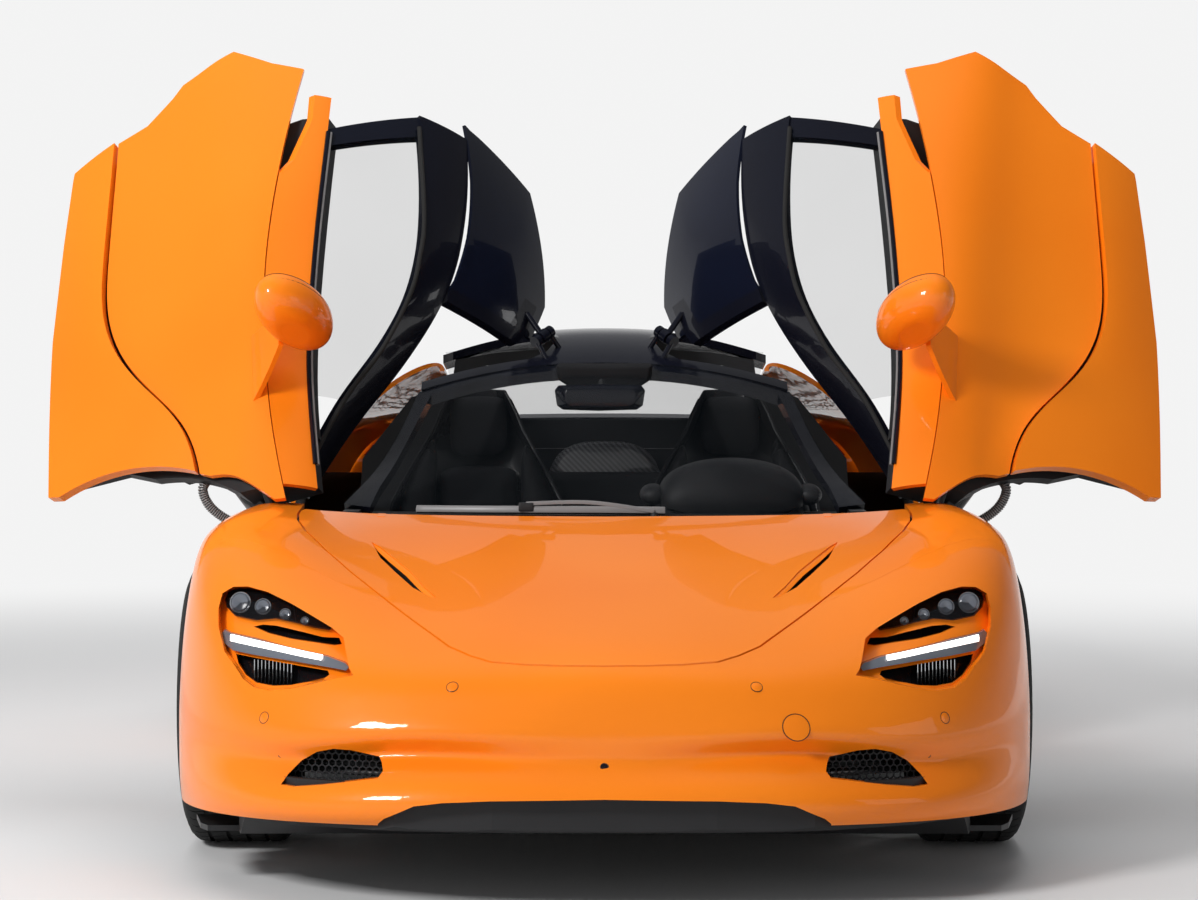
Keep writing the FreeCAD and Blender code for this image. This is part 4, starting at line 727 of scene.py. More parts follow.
class Studio:
    """Pale floor, soft lights and the camera that looks as the photograph does."""

    # Photograph and lens in pixels, and the camera's place ahead of the front axle and above the floor
    PHOTO_WIDTH = 1198.0
    PHOTO_HEIGHT = 900.0
    LENS_PIXELS = 3342.0
    CAMERA_BACK = 7.772
    CAMERA_HEIGHT = 1.1986
    HORIZON_ROW = 326.6
    CENTRE_COLUMN = 604.5
    SENSOR = 36.0
    CLIP = (0.1, 200.0)

    # Brightness of the backdrop by height of view: pale at the horizon, dimmer overhead
    PALE = (0.90, 0.90, 0.90)
    BACKDROP = ((0.0, PALE), (0.56, PALE), (0.68, (0.26, 0.26, 0.27)), (1.0, (0.18, 0.19, 0.20)))

    # Name, place, aim, size and power of each lamp, and the lamps that gloss doesn't mirror
    LAMPS = (
        ("top", (-0.6, 0.2, 5.2), (0.0, 0.0, 0.4), (3.6, 6.0), 190.0),
        ("key", (-4.6, -6.0, 4.6), (0.0, -0.8, 0.6), (1.6, 1.6), 400.0),
        ("rear", (2.5, 7.0, 3.4), (0.0, 1.0, 0.6), (3.0, 2.0), 120.0),
        ("fill", (5.5, -4.0, 2.0), (0.0, 0.0, 0.7), (2.5, 2.0), 14.0),
    )
    UNSEEN = ("rear", "top")

    # How much darker the backdrop lights the car from its left, and where the floor fades into it, in metres
    FAR_SIDE_DIM = 0.55
    FLOOR_REACH = 90.0
    FADE_START = 2.6
    FADE_END = 7.0

    def aim(self, direction: Vector) -> Any:
        """Turn of a camera or lamp that looks in a direction."""
        return direction.to_track_quat("-Z", "Y").to_euler()

    def camera(self) -> None:
        """Place the camera."""
        data = bpy.data.cameras.new("camera")
        data.sensor_width = self.SENSOR
        data.lens = self.SENSOR * self.LENS_PIXELS / self.PHOTO_WIDTH
        data.clip_start, data.clip_end = self.CLIP
        camera = placed("camera", data)
        right = (self.PHOTO_WIDTH / 2 - self.CENTRE_COLUMN) / self.LENS_PIXELS
        down = (self.PHOTO_HEIGHT / 2 - self.HORIZON_ROW) / self.LENS_PIXELS
        camera.location = Vector((0.0, FRONT_AXLE_Y - self.CAMERA_BACK, self.CAMERA_HEIGHT))
        camera.rotation_euler = self.aim(Vector((right, 1.0, -down)))
        bpy.context.scene.camera = camera

    def any_ray(self, nodes: Nodes, first: Wire, *rays: str) -> Wire:
        """The greater of a value and one for rays of the kinds named."""
        for ray in rays:
            first = first.maths("MAXIMUM", nodes.node("ShaderNodeLightPath", {}, {}, f"Is {ray} Ray"))
        return first

    def world(self) -> None:
        """Pale backdrop that dims overhead."""
        world = bpy.data.worlds.new("world")
        bpy.context.scene.world = world
        world.use_nodes = True
        nodes = Nodes()
        nodes.tree = world.node_tree
        background = nodes.tree.nodes["Background"]
        place = nodes.node("ShaderNodeTexCoord", {}, {}, "Generated")
        height = nodes.node("ShaderNodeSeparateXYZ", {}, {"Vector": place}, "Z")
        ramp = nodes.node("ShaderNodeValToRGB", {}, {"Fac": height * 0.5 + 0.5})
        stops = ramp.socket.node.color_ramp.elements
        while len(stops) < len(self.BACKDROP):
            stops.new(1.0)
        for stop, (position, colour) in zip(stops, self.BACKDROP):
            stop.position, stop.color = position, (*colour, 1.0)
        nodes.feed(background.inputs["Color"], ramp)
        across = nodes.node("ShaderNodeSeparateXYZ", {}, {"Vector": place}, "X")
        dimmed = 1.0 - across.step(0.0, 0.8) * self.FAR_SIDE_DIM
        nodes.feed(background.inputs["Strength"], self.any_ray(nodes, dimmed, "Camera", "Transmission"))

    def lights(self) -> None:
        """Soft lamps above, ahead to the right, behind and low to the left."""
        for name, place, aim, size, power in self.LAMPS:
            data = bpy.data.lights.new(name, "AREA")
            data.shape = "RECTANGLE"
            data.size, data.size_y = size
            data.energy = power
            lamp = placed(name, data)
            lamp.location = place
            lamp.rotation_euler = self.aim(Vector(aim) - Vector(place))
            lamp.visible_glossy = name not in self.UNSEEN

    def floor(self) -> None:
        """Large pale floor that keeps the car's shadow and fades into the backdrop."""
        mesh = bpy.data.meshes.new("floor_plane")
        reach = self.FLOOR_REACH
        corners = [(-reach, -reach, 0), (reach, -reach, 0), (reach, reach, 0), (-reach, reach, 0)]
        mesh.from_pydata(corners, [], [(0, 1, 2, 3)])
        plane = placed("floor_plane", mesh)
        shader = Shader("pale floor", Roughness=0.8, Specular_IOR_Level=0.2)
        shader.set(Base_Color=shader.blend(shader.noise(0.8, 3.0), (0.70, 0.70, 0.70), (0.74, 0.74, 0.74)))
        distance = (shader.axis("X") ** 2.0 + shader.axis("Y") ** 2.0) ** 0.5
        camera = shader.node("ShaderNodeLightPath", {}, {}, "Is Camera Ray")
        seen = self.any_ray(shader, camera, "Glossy", "Transmission")
        fade = distance.step(self.FADE_START, self.FADE_END) * seen
        pale = shader.node("ShaderNodeEmission", {}, {"Color": self.PALE, "Strength": 1.0})
        surface = Wire(shader, shader.principled.outputs[0])
        mixed = shader.node("ShaderNodeMixShader", {}, {0: fade, 1: surface, 2: pale})
        shader.feed(shader.tree.nodes["Material Output"].inputs["Surface"], mixed)
        mesh.materials.append(shader.material)

    def build(self) -> None:
        """Make the camera, lights and floor."""
        bpy.context.scene.view_settings.view_transform = "Standard"
        self.camera()
        self.world()
        self.lights()
        self.floor()


@dataclass
class FrontDetails:
    """Sensors, camera and towing cover on the nose, and the mesh behind the side intakes."""

    frame: dict
    sensor_radius: float = 0.013

    # Place across and height of each side's sensors, and the ends of the intakes' mesh
    SENSORS = (("inner", 314, 456), ("outer", 715, 378))
    MESH_ENDS = ((452, -870), (690, -800))
    MESH_HEIGHT = 238
    MESH_CELL = 0.0087

    def disc(self, name: str, x: float, z: float, finish: Finish, radius: float,
             gap: float = 0.0012) -> None:
        """Round cover let into the nose, with a shadow gap round it."""
        place, normal = Skin(self.frame, "bumper_front").hit(at(x, BEFORE_NOSE, z), BACK)
        edge = radius - gap
        dome = [(-0.003, 0.0005), (0.0006, 0.0005), (0.0005, radius * 0.8), (-0.0002, edge), (-0.003, edge)]
        Form().turn(place, normal, dome).piece(name, finish)
        rim = [(-0.001, edge), (0.0003, edge), (0.0003, radius), (-0.001, radius)]
        Form().turn(place, normal, rim).piece(name + "_gap", TRIM)

    def build(self) -> None:
        """Make every small piece of the nose."""
        for side in Side:
            for name, x, z in self.SENSORS:
                name = f"parking_sensor_{name}_{side.label}"
                self.disc(name, side.value * x, z, ORANGE, self.sensor_radius)
        self.disc("towing_cover", 394, 376, ORANGE, 0.030, 0.0016)
        self.disc("nose_camera", 0, 300, GLOSS_BLACK, 0.009)
        for side in Side:
            start, end = (side.at(x, y, self.MESH_HEIGHT) for x, y in self.MESH_ENDS)
            along = (end - start).normalized()
            columns = int((end - start).length / (self.MESH_CELL * PITCH))
            honeycomb("intake_mesh_" + side.label, self.MESH_CELL, 0.006, start, along, columns, 7)


@dataclass
class Headlamp:
    """Projectors, chrome rings, daylight strip and cooling fins of one headlamp."""

    frame: dict
    side: Side

    # Place across, height and radius of the projectors, and their profiles of (depth, share of the radius)
    PROJECTORS = ((795, 596, 0.021), (742, 590, 0.016), (690, 577, 0.011), (645, 565, 0.008))
    BOWL = ((0.0, 0.0), (0.0035, 0.55), (0.004, 0.8), (0.001, 1.0), (-0.004, 1.0))
    RING = ((0.0, 1.0), (0.003, 1.02), (0.003, 1.12), (0.0, 1.16), (-0.003, 1.1))
    STRIP = ((596, 497), (640, 503), (700, 512), (760, 520), (806, 526))
    STRIP_SECTION = ((-0.003, -0.007), (0.003, -0.008), (0.004, 0.0), (0.003, 0.008), (-0.003, 0.007))
    FINS = ((666, 466), (751, 466))
    FIN_COUNT = 11
    FIN = ((-0.004, -0.020), (0.010, -0.020), (0.010, 0.019), (-0.001, 0.019))
    FIN_THICKNESS = 0.0014

    def on(self, skin: Skin, x: float, z: float) -> tuple[Vector, Vector]:
        """Place and normal on the lamp, seen from ahead."""
        return skin.hit(self.side.at(x, BEFORE_NOSE, z), BACK)

    def build(self) -> None:
        """Make the pieces of this lamp."""
        label = self.side.label
        skin = Skin(self.frame, "headlamp_lens_" + label, "light_bar_" + label)
        for k, (x, z, radius) in enumerate(self.PROJECTORS, 1):
            place, normal = self.on(skin, x, z)
            for name, profile, finish in (("projector", self.BOWL, CRYSTAL), ("ring", self.RING, CHROME)):
                profile = [(depth, max(radius * share, 0.0004)) for depth, share in profile]
                form = Form().turn(place, normal - BACK * 2.2, profile, 28)
                form.piece(f"lamp_{name}_{k}_{label}", finish)
        start, end = (self.on(Skin(self.frame, "headlamp_lens_" + label), x, z)[0] for x, z in self.FINS)
        fin = [Vector((-self.FIN_THICKNESS / 2, y, z)) for y, z in self.FIN]
        Form().slab(fin, Vector((self.FIN_THICKNESS, 0, 0))).piece(
            "lamp_fins_" + label, CHROME, repeat=GridRepeater, Count=self.FIN_COUNT, Rows=1, Start=start,
            Step=(end - start) / (self.FIN_COUNT - 1))
        spots = [self.on(skin, x, z) for x, z in smooth_line(self.STRIP, 15)]
        path = [place + normal * 0.0015 for place, normal in spots]
        Form().sweep(path, self.STRIP_SECTION).piece("daylight_strip_" + label, LIGHT, bevel=0.001)


def box(wide: float, low: float, top_wide: float, top: float) -> Profile:
    """Profile with a flat foot and a flat top, from its half widths."""
    return [(-wide, low), (wide, low), (top_wide, top), (-top_wide, top)]


@dataclass
class Wiper:
    """Single wiper with its arm, pivot and blade at the foot of the screen."""

    BLADE = ((-457, 356, 757), (-300, 296, 759), (-150, 268, 760), (0, 260, 760), (146, 266, 758))
    SECTION = ((-0.007, -0.009), (0.007, -0.009), (0.006, 0), (0.002, 0.007), (-0.002, 0.007), (-0.006, 0))
    PIVOT = (120, 254, 730)
    CAP = ((-0.012, 0.0005), (-0.012, 0.011), (0.016, 0.0105), (0.021, 0.008), (0.023, 0.0005))

    def build(self) -> None:
        """Make the wiper."""
        blade = [at(*point) for point in smooth_line(self.BLADE, 24)]
        Form().sweep(blade, self.SECTION).piece("wiper_blade", SATIN, bevel=0.001)
        rubber = [point - UP * 0.0075 for point in blade]
        Form().sweep(rubber, box(0.001, -0.005, 0.002, 0.003)).piece("wiper_rubber", RUBBER, slot="trim")
        pivot, middle = at(*self.PIVOT), blade[10]
        arm = [pivot + Vector((0, 0.006, 0.024)), pivot.lerp(middle, 0.5) + Vector((0, 0.004, 0.030)),
               middle + UP * 0.012]
        arm_form = Form().sweep(smooth_line(arm, 12), box(0.008, -0.004, 0.006, 0.005))
        arm_form.piece("wiper_arm", SATIN, bevel=0.0012)
        clip = [middle + Vector((dx, 0, 0.004)) for dx in (-0.018, -0.010, 0.010, 0.018)]
        Form().sweep(clip, box(0.011, -0.010, 0.010, 0.011)).piece("wiper_clip", TRIM, bevel=0.002)
        Form().turn(pivot, Vector((0, 0.25, 1)), self.CAP).piece("wiper_pivot", TRIM)


@dataclass
class InnerMirror:
    """Sensor pod under the header and the inner mirror hanging from it."""

    # Place along the car, half width, top and foot of the pod's sections
    POD = ((905, 118, 1094, 1042), (925, 126, 1100, 1038), (960, 122, 1104, 1050))
    STEM = ((-8, 918, 1066), (-8, 905, 1040), (-8, 890, 1020))

    # Mirror's outline round its middle, and its sections by place along the car, width and height
    OUTLINE = ((-122, 20), (-112, 33), (0, 36), (104, 33), (114, 20), (108, -20), (92, -31), (-8, -34),
               (-100, -31), (-116, -20))
    MIDDLE = (-8, 1014)
    SECTIONS = ((862, 0.78, 0.70), (884, 1.0, 1.0), (892, 0.96, 0.94))
    GLASS = (892.6, 0.90, 0.86)

    def section(self, y: float, wide: float, high: float) -> list[Vector]:
        """Ring of the mirror, by its share of the outline's width and height."""
        return [at(self.MIDDLE[0] + x * wide, y, self.MIDDLE[1] + z * high) for x, z in self.OUTLINE]

    def build(self) -> None:
        """Make the pod and the mirror."""
        rings = []
        for y, wide, top, low in self.POD:
            bend = low + 0.35 * (top - low)
            half = [(wide, top), (wide * 0.96, bend), (wide * 0.70, low)]
            rings.append([at(x, y, z) for x, z in [(-wide, top), *half, *((-x, z) for x, z in half[:0:-1])]])
        Form().loft(rings).piece("mirror_sensor_pod", SUEDE, bevel=0.006)
        Form().tube([at(*point) for point in self.STEM], 0.011).piece("mirror_stem", TRIM)
        head = Form().loft([self.section(*row) for row in self.SECTIONS])
        head.piece("inner_mirror", GLOSS_BLACK, bevel=0.002)
        Form().slab(self.section(*self.GLASS), BACK * 0.0012).piece("inner_mirror_glass", MIRROR)


@dataclass
class Binnacle:
    """Hooded instrument display over the column, with an air vent at either end."""

    middle: float = 318.0
    vent_height: float = 776.0

    # Place along the car, half width, top and foot of the hood's sections
    HOOD = ((505, 150, 796, 728), (536, 178, 842, 722), (560, 188, 862, 722), (640, 190, 869, 722),
            (674, 190, 869, 724), (682, 182, 858, 734))
    DISPLAY = ((-112, 748), (112, 748), (118, 790), (92, 826), (-92, 826), (-118, 790))
    VENT_OFFSET = 196.0
    VENT = ((540, 26, 18), (600, 34, 26), (660, 36, 30), (676, 30, 24))
    VANE = ((-24, 674, 0), (24, 674, 0), (24, 684, 4), (-24, 684, 4))

    def arc(self, y: float, width: float, top: float, low: float) -> list[Vector]:
        """Section across the hood."""
        rise = top - low
        return [at(self.middle - width * math.cos(t), y, low + rise * math.sin(t) ** 0.55) for t in ARC]

    def build(self) -> None:
        """Make the hood, display and vents."""
        Form().loft([self.arc(*row) for row in self.HOOD]).piece("instrument_hood", LEATHER, smooth=1)
        screen = [at(self.middle + x, 681, z) for x, z in self.DISPLAY]
        Form().slab(screen, BACK * 0.006).piece("instrument_display", GLOSS_BLACK, bevel=0.002)
        for side in Side:
            centre = self.middle + side.value * self.VENT_OFFSET
            level = self.vent_height
            rings = [[at(centre + wide * math.cos(t), y, level + high * math.sin(t)) for t in turns(14)]
                     for y, wide, high in self.VENT]
            Form().loft(rings).piece("hood_vent_pod_" + side.label, TRIM, smooth=1)
            for k in (1, 2, 3):
                vane = [at(centre + x, y, level + 12 * (k - 2) + z) for x, y, z in self.VANE]
                Form().slab(vane, UP * 0.0015).piece(f"hood_vent_vane_{k}_{side.label}", TRIM)


@dataclass
class HoodVent:
    """Dished surround in body colour that leaves a slim slot open in one vent of the luggage lid."""

    frame: dict
    side: Side
    depth: float = 4.5
    lip: float = 3.4

    # Outboard and inboard edges of the vent in plan, from tail to nose, and the slot's two edges as shares
    OUTER = ((537, -94), (526, -150), (507, -231), (486, -285), (465, -337), (444, -388), (422, -434),
             (400, -468), (379, -493))
    INNER = ((535, -96), (505, -152), (474, -227), (453, -276), (433, -321), (415, -372), (397, -425),
             (381, -462), (368, -491))
    SLOT = ((0.40, 0.40), (0.16, 0.46), (0.08, 0.58), (0.06, 0.62), (0.06, 0.64), (0.08, 0.64), (0.10, 0.62),
            (0.20, 0.56), (0.4, 0.4))

    def level(self, skin: Skin, x: float, y: float) -> float:
        """Height of the lid's skin in millimetres."""
        return skin.hit(self.side.at(x, y, OVERHEAD), -UP)[0].z * 1000

    def build(self) -> None:
        """Make the surround."""
        skin = Skin(self.frame, "luggage_lid")
        rim, bowl = [], []
        for outer, inner, (near, far) in zip(self.OUTER, self.INNER, self.SLOT):
            high, low = self.level(skin, outer[0] + 5, outer[1]), self.level(skin, inner[0] - 5, inner[1])
            fall = self.depth * (0.25 if outer in (self.OUTER[0], self.OUTER[-1]) else 1.0)

            def spot(share: float, down: float) -> Vector:
                """Point a share of the way across the vent from its outboard edge, below the lid's skin."""
                x, y = (a + (b - a) * share for a, b in zip(outer, inner))
                return self.side.at(x, y, high + (low - high) * share - self.lip - down)

            rim.append([spot(t * near, fall * t) for t in (-0.12, 0.0, 0.5, 1.0)])
            shares = (0.0, 0.25, 0.5, 0.75, 1.0, 1.1)
            bowl.append([spot(far + (1 - far) * t, fall * max(1 - t, 0) ** 1.4) for t in shares])
        surround = Form().sheet(rim).sheet(bowl)
        surround.piece("hood_vent_surround_" + self.side.label, ORANGE, "luggage_lid", wall=0.0012)


@dataclass
class DoorHinge:
    """Corrugated wiring conduit, arm and gas strut between a raised door and the body."""

    side: Side

    CONDUIT = ((967, 425, 829), (985, 412, 800), (965, 402, 757), (915, 396, 722), (860, 394, 708),
               (812, 396, 706))
    ARM = ((800, 322, 724), (842, 362, 762), (900, 420, 812), (962, 478, 866))
    STRUT = ((836, 402, 712), (880, 450, 760), (934, 512, 820))

    def line(self, stations: Sequence[Point], count: int) -> list[Vector]:
        """Smooth line through stations on this side."""
        return smooth_line([self.side.at(*point) for point in stations], count)

    def build(self) -> None:
        """Make the pieces of this side."""
        label, door = self.side.label, "door_" + self.side.label
        line = self.line(self.CONDUIT, 40)
        core = Form().tube(line, 0.0095, 14).piece("wiring_conduit_" + label, TRIM, body="")
        rings = Form().line(line).piece("conduit_rings_" + label, SATIN, body="", repeat=PathRepeater,
                                        Spacing=0.0056, Length=0.0030, Radius=0.0122)
        for piece in (core, rings):
            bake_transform(piece)
        arm = Form().sweep(self.line(self.ARM, 14), box(0.006, -0.017, 0.006, 0.017))
        arm.piece("hinge_arm_" + label, TRIM, door, bevel=0.003)
        Form().tube(self.line(self.STRUT, 8), 0.008, 14).piece("hinge_strut_" + label, SATIN, door)


@dataclass
class CabinTrim:
    """Padded bulkhead with its seam, woven arch and parcel shelf behind the seats."""

    frame: dict

    # Heights of the bulkhead pad's rows in millimetres and of its seam in metres, and the pad's stand-off
    HEIGHTS = (560, 700, 800, 880, 925, 940)
    SEAM = 0.859
    STAND_OFF = 0.014

    # Half width, top and distance ahead of the bulkhead of the arch's sections, and the shelf's section
    ARCH = ((152, 872, 28), (160, 882, 44), (160, 882, 78), (146, 868, 108))
    ARCH_FOOT = 700
    SHELF = ((-0.2, 0.6), (-0.2, 0.780), (-0.190, 0.795), (-0.160, 0.798), (-0.100, 0.798), (-0.100, 0.6))
    SHELF_PLACES = (-0.205, -0.1, 0.0, 0.1, 0.205)

    def build(self) -> None:
        """Make the trim."""
        tub = Skin(self.frame, "tub")
        rows = []
        for z in self.HEIGHTS:
            row = [tub.hit(at(x, 1250, min(z, 700)), BACK)[0] for x in range(-420, 421, 60)]
            ahead = self.STAND_OFF - 0.000004 * z
            rows.append([Vector((place.x, place.y - ahead, z / 1000)) for place in row])
        Form().sheet(rows).piece("bulkhead_pad", SUEDE, wall=0.010)
        middle = rows[0][len(rows[0]) // 2].y
        arch, foot = [], self.ARCH_FOOT
        for wide, top, ahead in self.ARCH:
            y = (middle - FRONT_AXLE_Y) * 1000 - ahead
            ring = [(-wide * lobe(math.cos(t), 0.7), foot + (top - foot) * math.sin(t) ** 0.6) for t in ARC]
            arch.append([at(x, y, z) for x, z in ring])
        Form().loft(arch).piece("tunnel_arch", WEAVE, bevel=0.002)
        ends = [[Vector((x, middle + y, z)) for y, z in self.SHELF] for x in self.SHELF_PLACES]
        Form().loft(ends).piece("parcel_shelf", SUEDE, bevel=0.004)
        edge = [Vector((p.x, p.y - 0.007, self.SEAM)) for p in rows[3]]
        Form().line(edge).piece("bulkhead_stitches", SATIN, slot="leather", repeat=PathRepeater,
                                Spacing=0.006, Length=0.0042, Radius=0.0008)


@dataclass
class Upholstery:
    """Padded leather forms, swollen by cloth."""

    voxel: float = 0.009
    pressure: float = 4.0
    cap: float = 0.010
    frames: int = 20

    def pad(self, name: str, rings: Sequence[Sequence[Vector]], fill: float, finish: Finish,
            body: str = CHASSIS) -> bpy.types.Object:
        """Make one closed, crowned pad.

        Args:
            name: Piece name.
            rings: Rings of the pad before it swells.
            fill: How full it looks, from 0 to 1; not used.
            finish: Its cover.
            body: The body it rides on.

        Returns:
            The pad.
        """
        made = Form().loft(rings).piece(name, finish, body, "leather", smooth=1)
        self.swell(made)
        return made

    def swell(self, made: bpy.types.Object) -> None:
        """Blow the pad up a little with a cloth simulation and keep the result."""
        modified(made, "REMESH", mode="VOXEL", voxel_size=self.voxel)
        applied(made)
        before = [vertex.co.copy() for vertex in made.data.vertices]
        cloth = made.modifiers.new("cloth", "CLOTH")
        cloth.settings.use_pressure = True
        cloth.settings.uniform_pressure_force = self.pressure
        cloth.settings.effector_weights.gravity = 0.0
        cloth.point_cache.frame_end = self.frames
        for frame in range(1, self.frames + 1):
            bpy.context.scene.frame_set(frame)
        applied(made)
        bpy.context.scene.frame_set(1)
        for vertex, start in zip(made.data.vertices, before):
            shift = vertex.co - start
            if shift.length > self.cap:
                vertex.co = start + shift.normalized() * self.cap
        modified(made, "SUBSURF", levels=1, render_levels=1)
        applied(made)
        for polygon in made.data.polygons:
            polygon.use_smooth = True


@dataclass
class Seat:
    """Bucket seat: gloss shell, winged and bolstered back, headrest, cushion and piping."""

    side: Side
    middle: float = 345.0

    # Half width of the shell by height, and the heights of its sections, from its foot to its top
    OUTLINE = ((210, 215), (330, 238), (520, 250), (650, 248), (723, 233), (805, 190), (915, 126), (985, 98),
               (1020, 74))
    SHELL = (210, 300, 420, 540, 650, 723, 765, 805, 860, 915, 960, 1000, 1024)

    # Place along the car of the back's front face, at a height, and its rake
    FACE = (1150, 214)
    RAKE = 0.352

    # Height of the shoulders, the wings' reach forwards below them, and its loss over a height above them
    SHOULDER = 700
    WING = 62
    WING_LOSS = 30
    WING_FADE = 200

    # Depth and width of a pad's end rings as shares of the others', its rear bulge, and the cushion's fall
    UPRIGHT_END = (0.62, 0.9)
    FLAT_END = (0.7, 0.9)
    REAR_BULGE = 14.0
    CUSHION_FRONT = 760
    CUSHION_FALL = 22 / 380

    # Heights of the back's pads and places along the car of the cushion's
    BACK_PAD = (300, 360, 450, 560, 680, 790, 830)
    HEADREST = (838, 870, 910, 955, 990, 1008)
    BOLSTER = (290, 340, 440, 560, 660, 740, 800, 870, 930)
    CUSHION = (764, 810, 900, 1000, 1100, 1160)
    CUSHION_BOLSTER = (770, 820, 920, 1020, 1120, 1170)
    BASE = ((-215, 196), (215, 196), (226, 262), (-226, 262))
    BASE_ENDS = (775, 1180)
    RAIL = ((-15, 147), (15, 147), (15, 200), (-15, 200))
    RAIL_OFFSET = 150
    RAIL_ENDS = (790, 1180)

    def front(self, z: float) -> float:
        """Place along the car of the back's front face at a height."""
        return self.FACE[0] + (z - self.FACE[1]) * self.RAKE

    def wing(self, z: float) -> float:
        """How far the shell's wings reach ahead of the back at a height."""
        return self.WING - self.WING_LOSS * min(max(z - self.SHOULDER, 0) / self.WING_FADE, 1.0)

    def at(self, x: float, y: float, z: float) -> Vector:
        """Point of this seat, across from its own middle."""
        return self.side.at(self.middle + x, y, z)

    def half(self, z: float) -> float:
        """Half width of the shell at a height."""
        for (low, a), (high, b) in zip(self.OUTLINE, self.OUTLINE[1:]):
            if z <= high:
                return a + (b - a) * max(z - low, 0) / (high - low)
        return self.OUTLINE[-1][1]

    def bolster(self, z: float) -> float:
        """How far out the back's side bolsters reach at a height."""
        least = 132 if z < self.SHOULDER else 126 - (z - self.SHOULDER) * 0.12
        return max(self.half(z) - 18, least)

    def shell(self) -> None:
        """Hard shell round the back."""
        rings = []
        for z in self.SHELL:
            half, wing = self.half(z), -self.wing(z)
            inside = [(half, wing), (half - 8, wing), (half - 26, 34), (half * 0.5, 62)]
            outside = [(half - 4, 46), (half * 0.55, 84)]
            ring = [(-x, y) for x, y in inside] + [(0, 66)] + inside[::-1] + outside + [(0, 90)]
            ring += [(-x, y) for x, y in outside[::-1]]
            rings.append([self.at(x, self.front(z) + y, z) for x, y in ring])
        Form().loft(rings).piece("seat_shell_" + self.side.label, SEAT_SHELL, bevel=0.003, sharp=40)

    def upright(self, zs: Sequence[float], inner: float, outer: Callable[[float], float], deep: float,
                back: float, turn: int = 1) -> list[list[Vector]]:
        """Rings of a pad standing against the back.

        Args:
            zs: Heights of its rings.
            inner: Where it starts across the seat.
            outer: Where it ends at a height.
            deep: How far it stands forwards.
            back: How far behind the front face it is rooted.
            turn: One, or minus one for the mirrored pad.

        Returns:
            Its rings.
        """
        out = []
        for z in zs:
            end, narrow = self.UPRIGHT_END if z in (zs[0], zs[-1]) else (1.0, 1.0)
            mid, half = (inner + outer(z)) / 2, (outer(z) - inner) / 2 * narrow
            face = self.front(z) + back
            out.append(pad_ring(0.55, 0.6, lambda a, b: self.at(
                turn * (mid + half * a), face + (deep * end if b < 0 else self.REAR_BULGE) * b, z)))
        return out

    def flat(self, ys: Sequence[float], inner: float, outer: float, top: float, low: float,
             turn: int = 1) -> list[list[Vector]]:
        """Rings of a pad lying on the cushion's base.

        Args:
            ys: Places of its rings along the car.
            inner: Where it starts across the seat.
            outer: Where it ends.
            top: Height of its crown at the front.
            low: Height of its foot.
            turn: One, or minus one for the mirrored pad.

        Returns:
            Its rings.
        """
        out = []
        for y in ys:
            end, narrow = self.FLAT_END if y in (ys[0], ys[-1]) else (1.0, 1.0)
            mid, half = (inner + outer) / 2, (outer - inner) / 2 * narrow
            rise = top - self.CUSHION_FALL * (y - self.CUSHION_FRONT) - low
            out.append(pad_ring(0.55, 0.6, lambda a, b: self.at(
                turn * (mid + half * a), y, low + rise * (0.5 + 0.5 * end * b))))
        return out

    def build(self) -> None:
        """Make the seat and let it stand for its plain solid."""
        label = self.side.label
        maker = Upholstery()
        self.shell()
        pad = self.upright(self.BACK_PAD, -118, lambda z: 118, 40, 30)
        back = maker.pad("seat_back_pad_" + label, pad, 0.75, SUEDE)
        pad = self.upright(self.HEADREST, -82, lambda z: 82, 44, 34)
        maker.pad("seat_headrest_" + label, pad, 0.8, SUEDE)
        for turn, name in ((1, "outer"), (-1, "inner")):
            pad = self.upright(self.BOLSTER, 122, self.bolster, 86, 34, turn)
            maker.pad(f"seat_bolster_{name}_{label}", pad, 0.8, LEATHER)
            pad = self.flat(self.CUSHION_BOLSTER, 132, 222, 336, 238, turn)
            maker.pad(f"cushion_bolster_{name}_{label}", pad, 0.8, LEATHER)
        maker.pad("seat_cushion_" + label, self.flat(self.CUSHION, -128, 128, 304, 236), 0.7, SUEDE)
        base = [[self.at(x, y, z) for x, z in self.BASE] for y in self.BASE_ENDS]
        Form().loft(base).piece("seat_base_" + label, SEAT_SHELL, bevel=0.010)
        for turn, name in ((-1, "inner"), (1, "outer")):
            edge = [(self.half(z) - 1, self.front(z) - self.wing(z) - 1, z) for z in self.SHELL[1:-1]]
            piping = Form().tube([self.at(turn * x, y, z) for x, y, z in edge], 0.0028, 8)
            piping.piece(f"seat_piping_{name}_{label}", LEATHER)
            middle = turn * self.RAIL_OFFSET
            rail = [[self.at(middle + x, y, z) for x, z in self.RAIL] for y in self.RAIL_ENDS]
            Form().loft(rail).piece(f"seat_rail_{name}_{label}", STEEL, bevel=0.002)
        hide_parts("seat_" + label)


@dataclass(frozen=True)
class Axle:
    """Sizes of one axle's wheels and arches in millimetres."""

    name: str
    place: Point
    radius: float
    width: float
    rim: float
    arch_radius: float
    arch_inside: float


FRONT_AXLE = Axle("front", (840.0, 0.0, 327.0), 327.0, 245.0, 247.0, 378.0, 552.0)
REAR_AXLE = Axle("rear", (814.5, 2670.0, 345.5), 345.5, 305.0, 260.0, 397.0, 600.0)


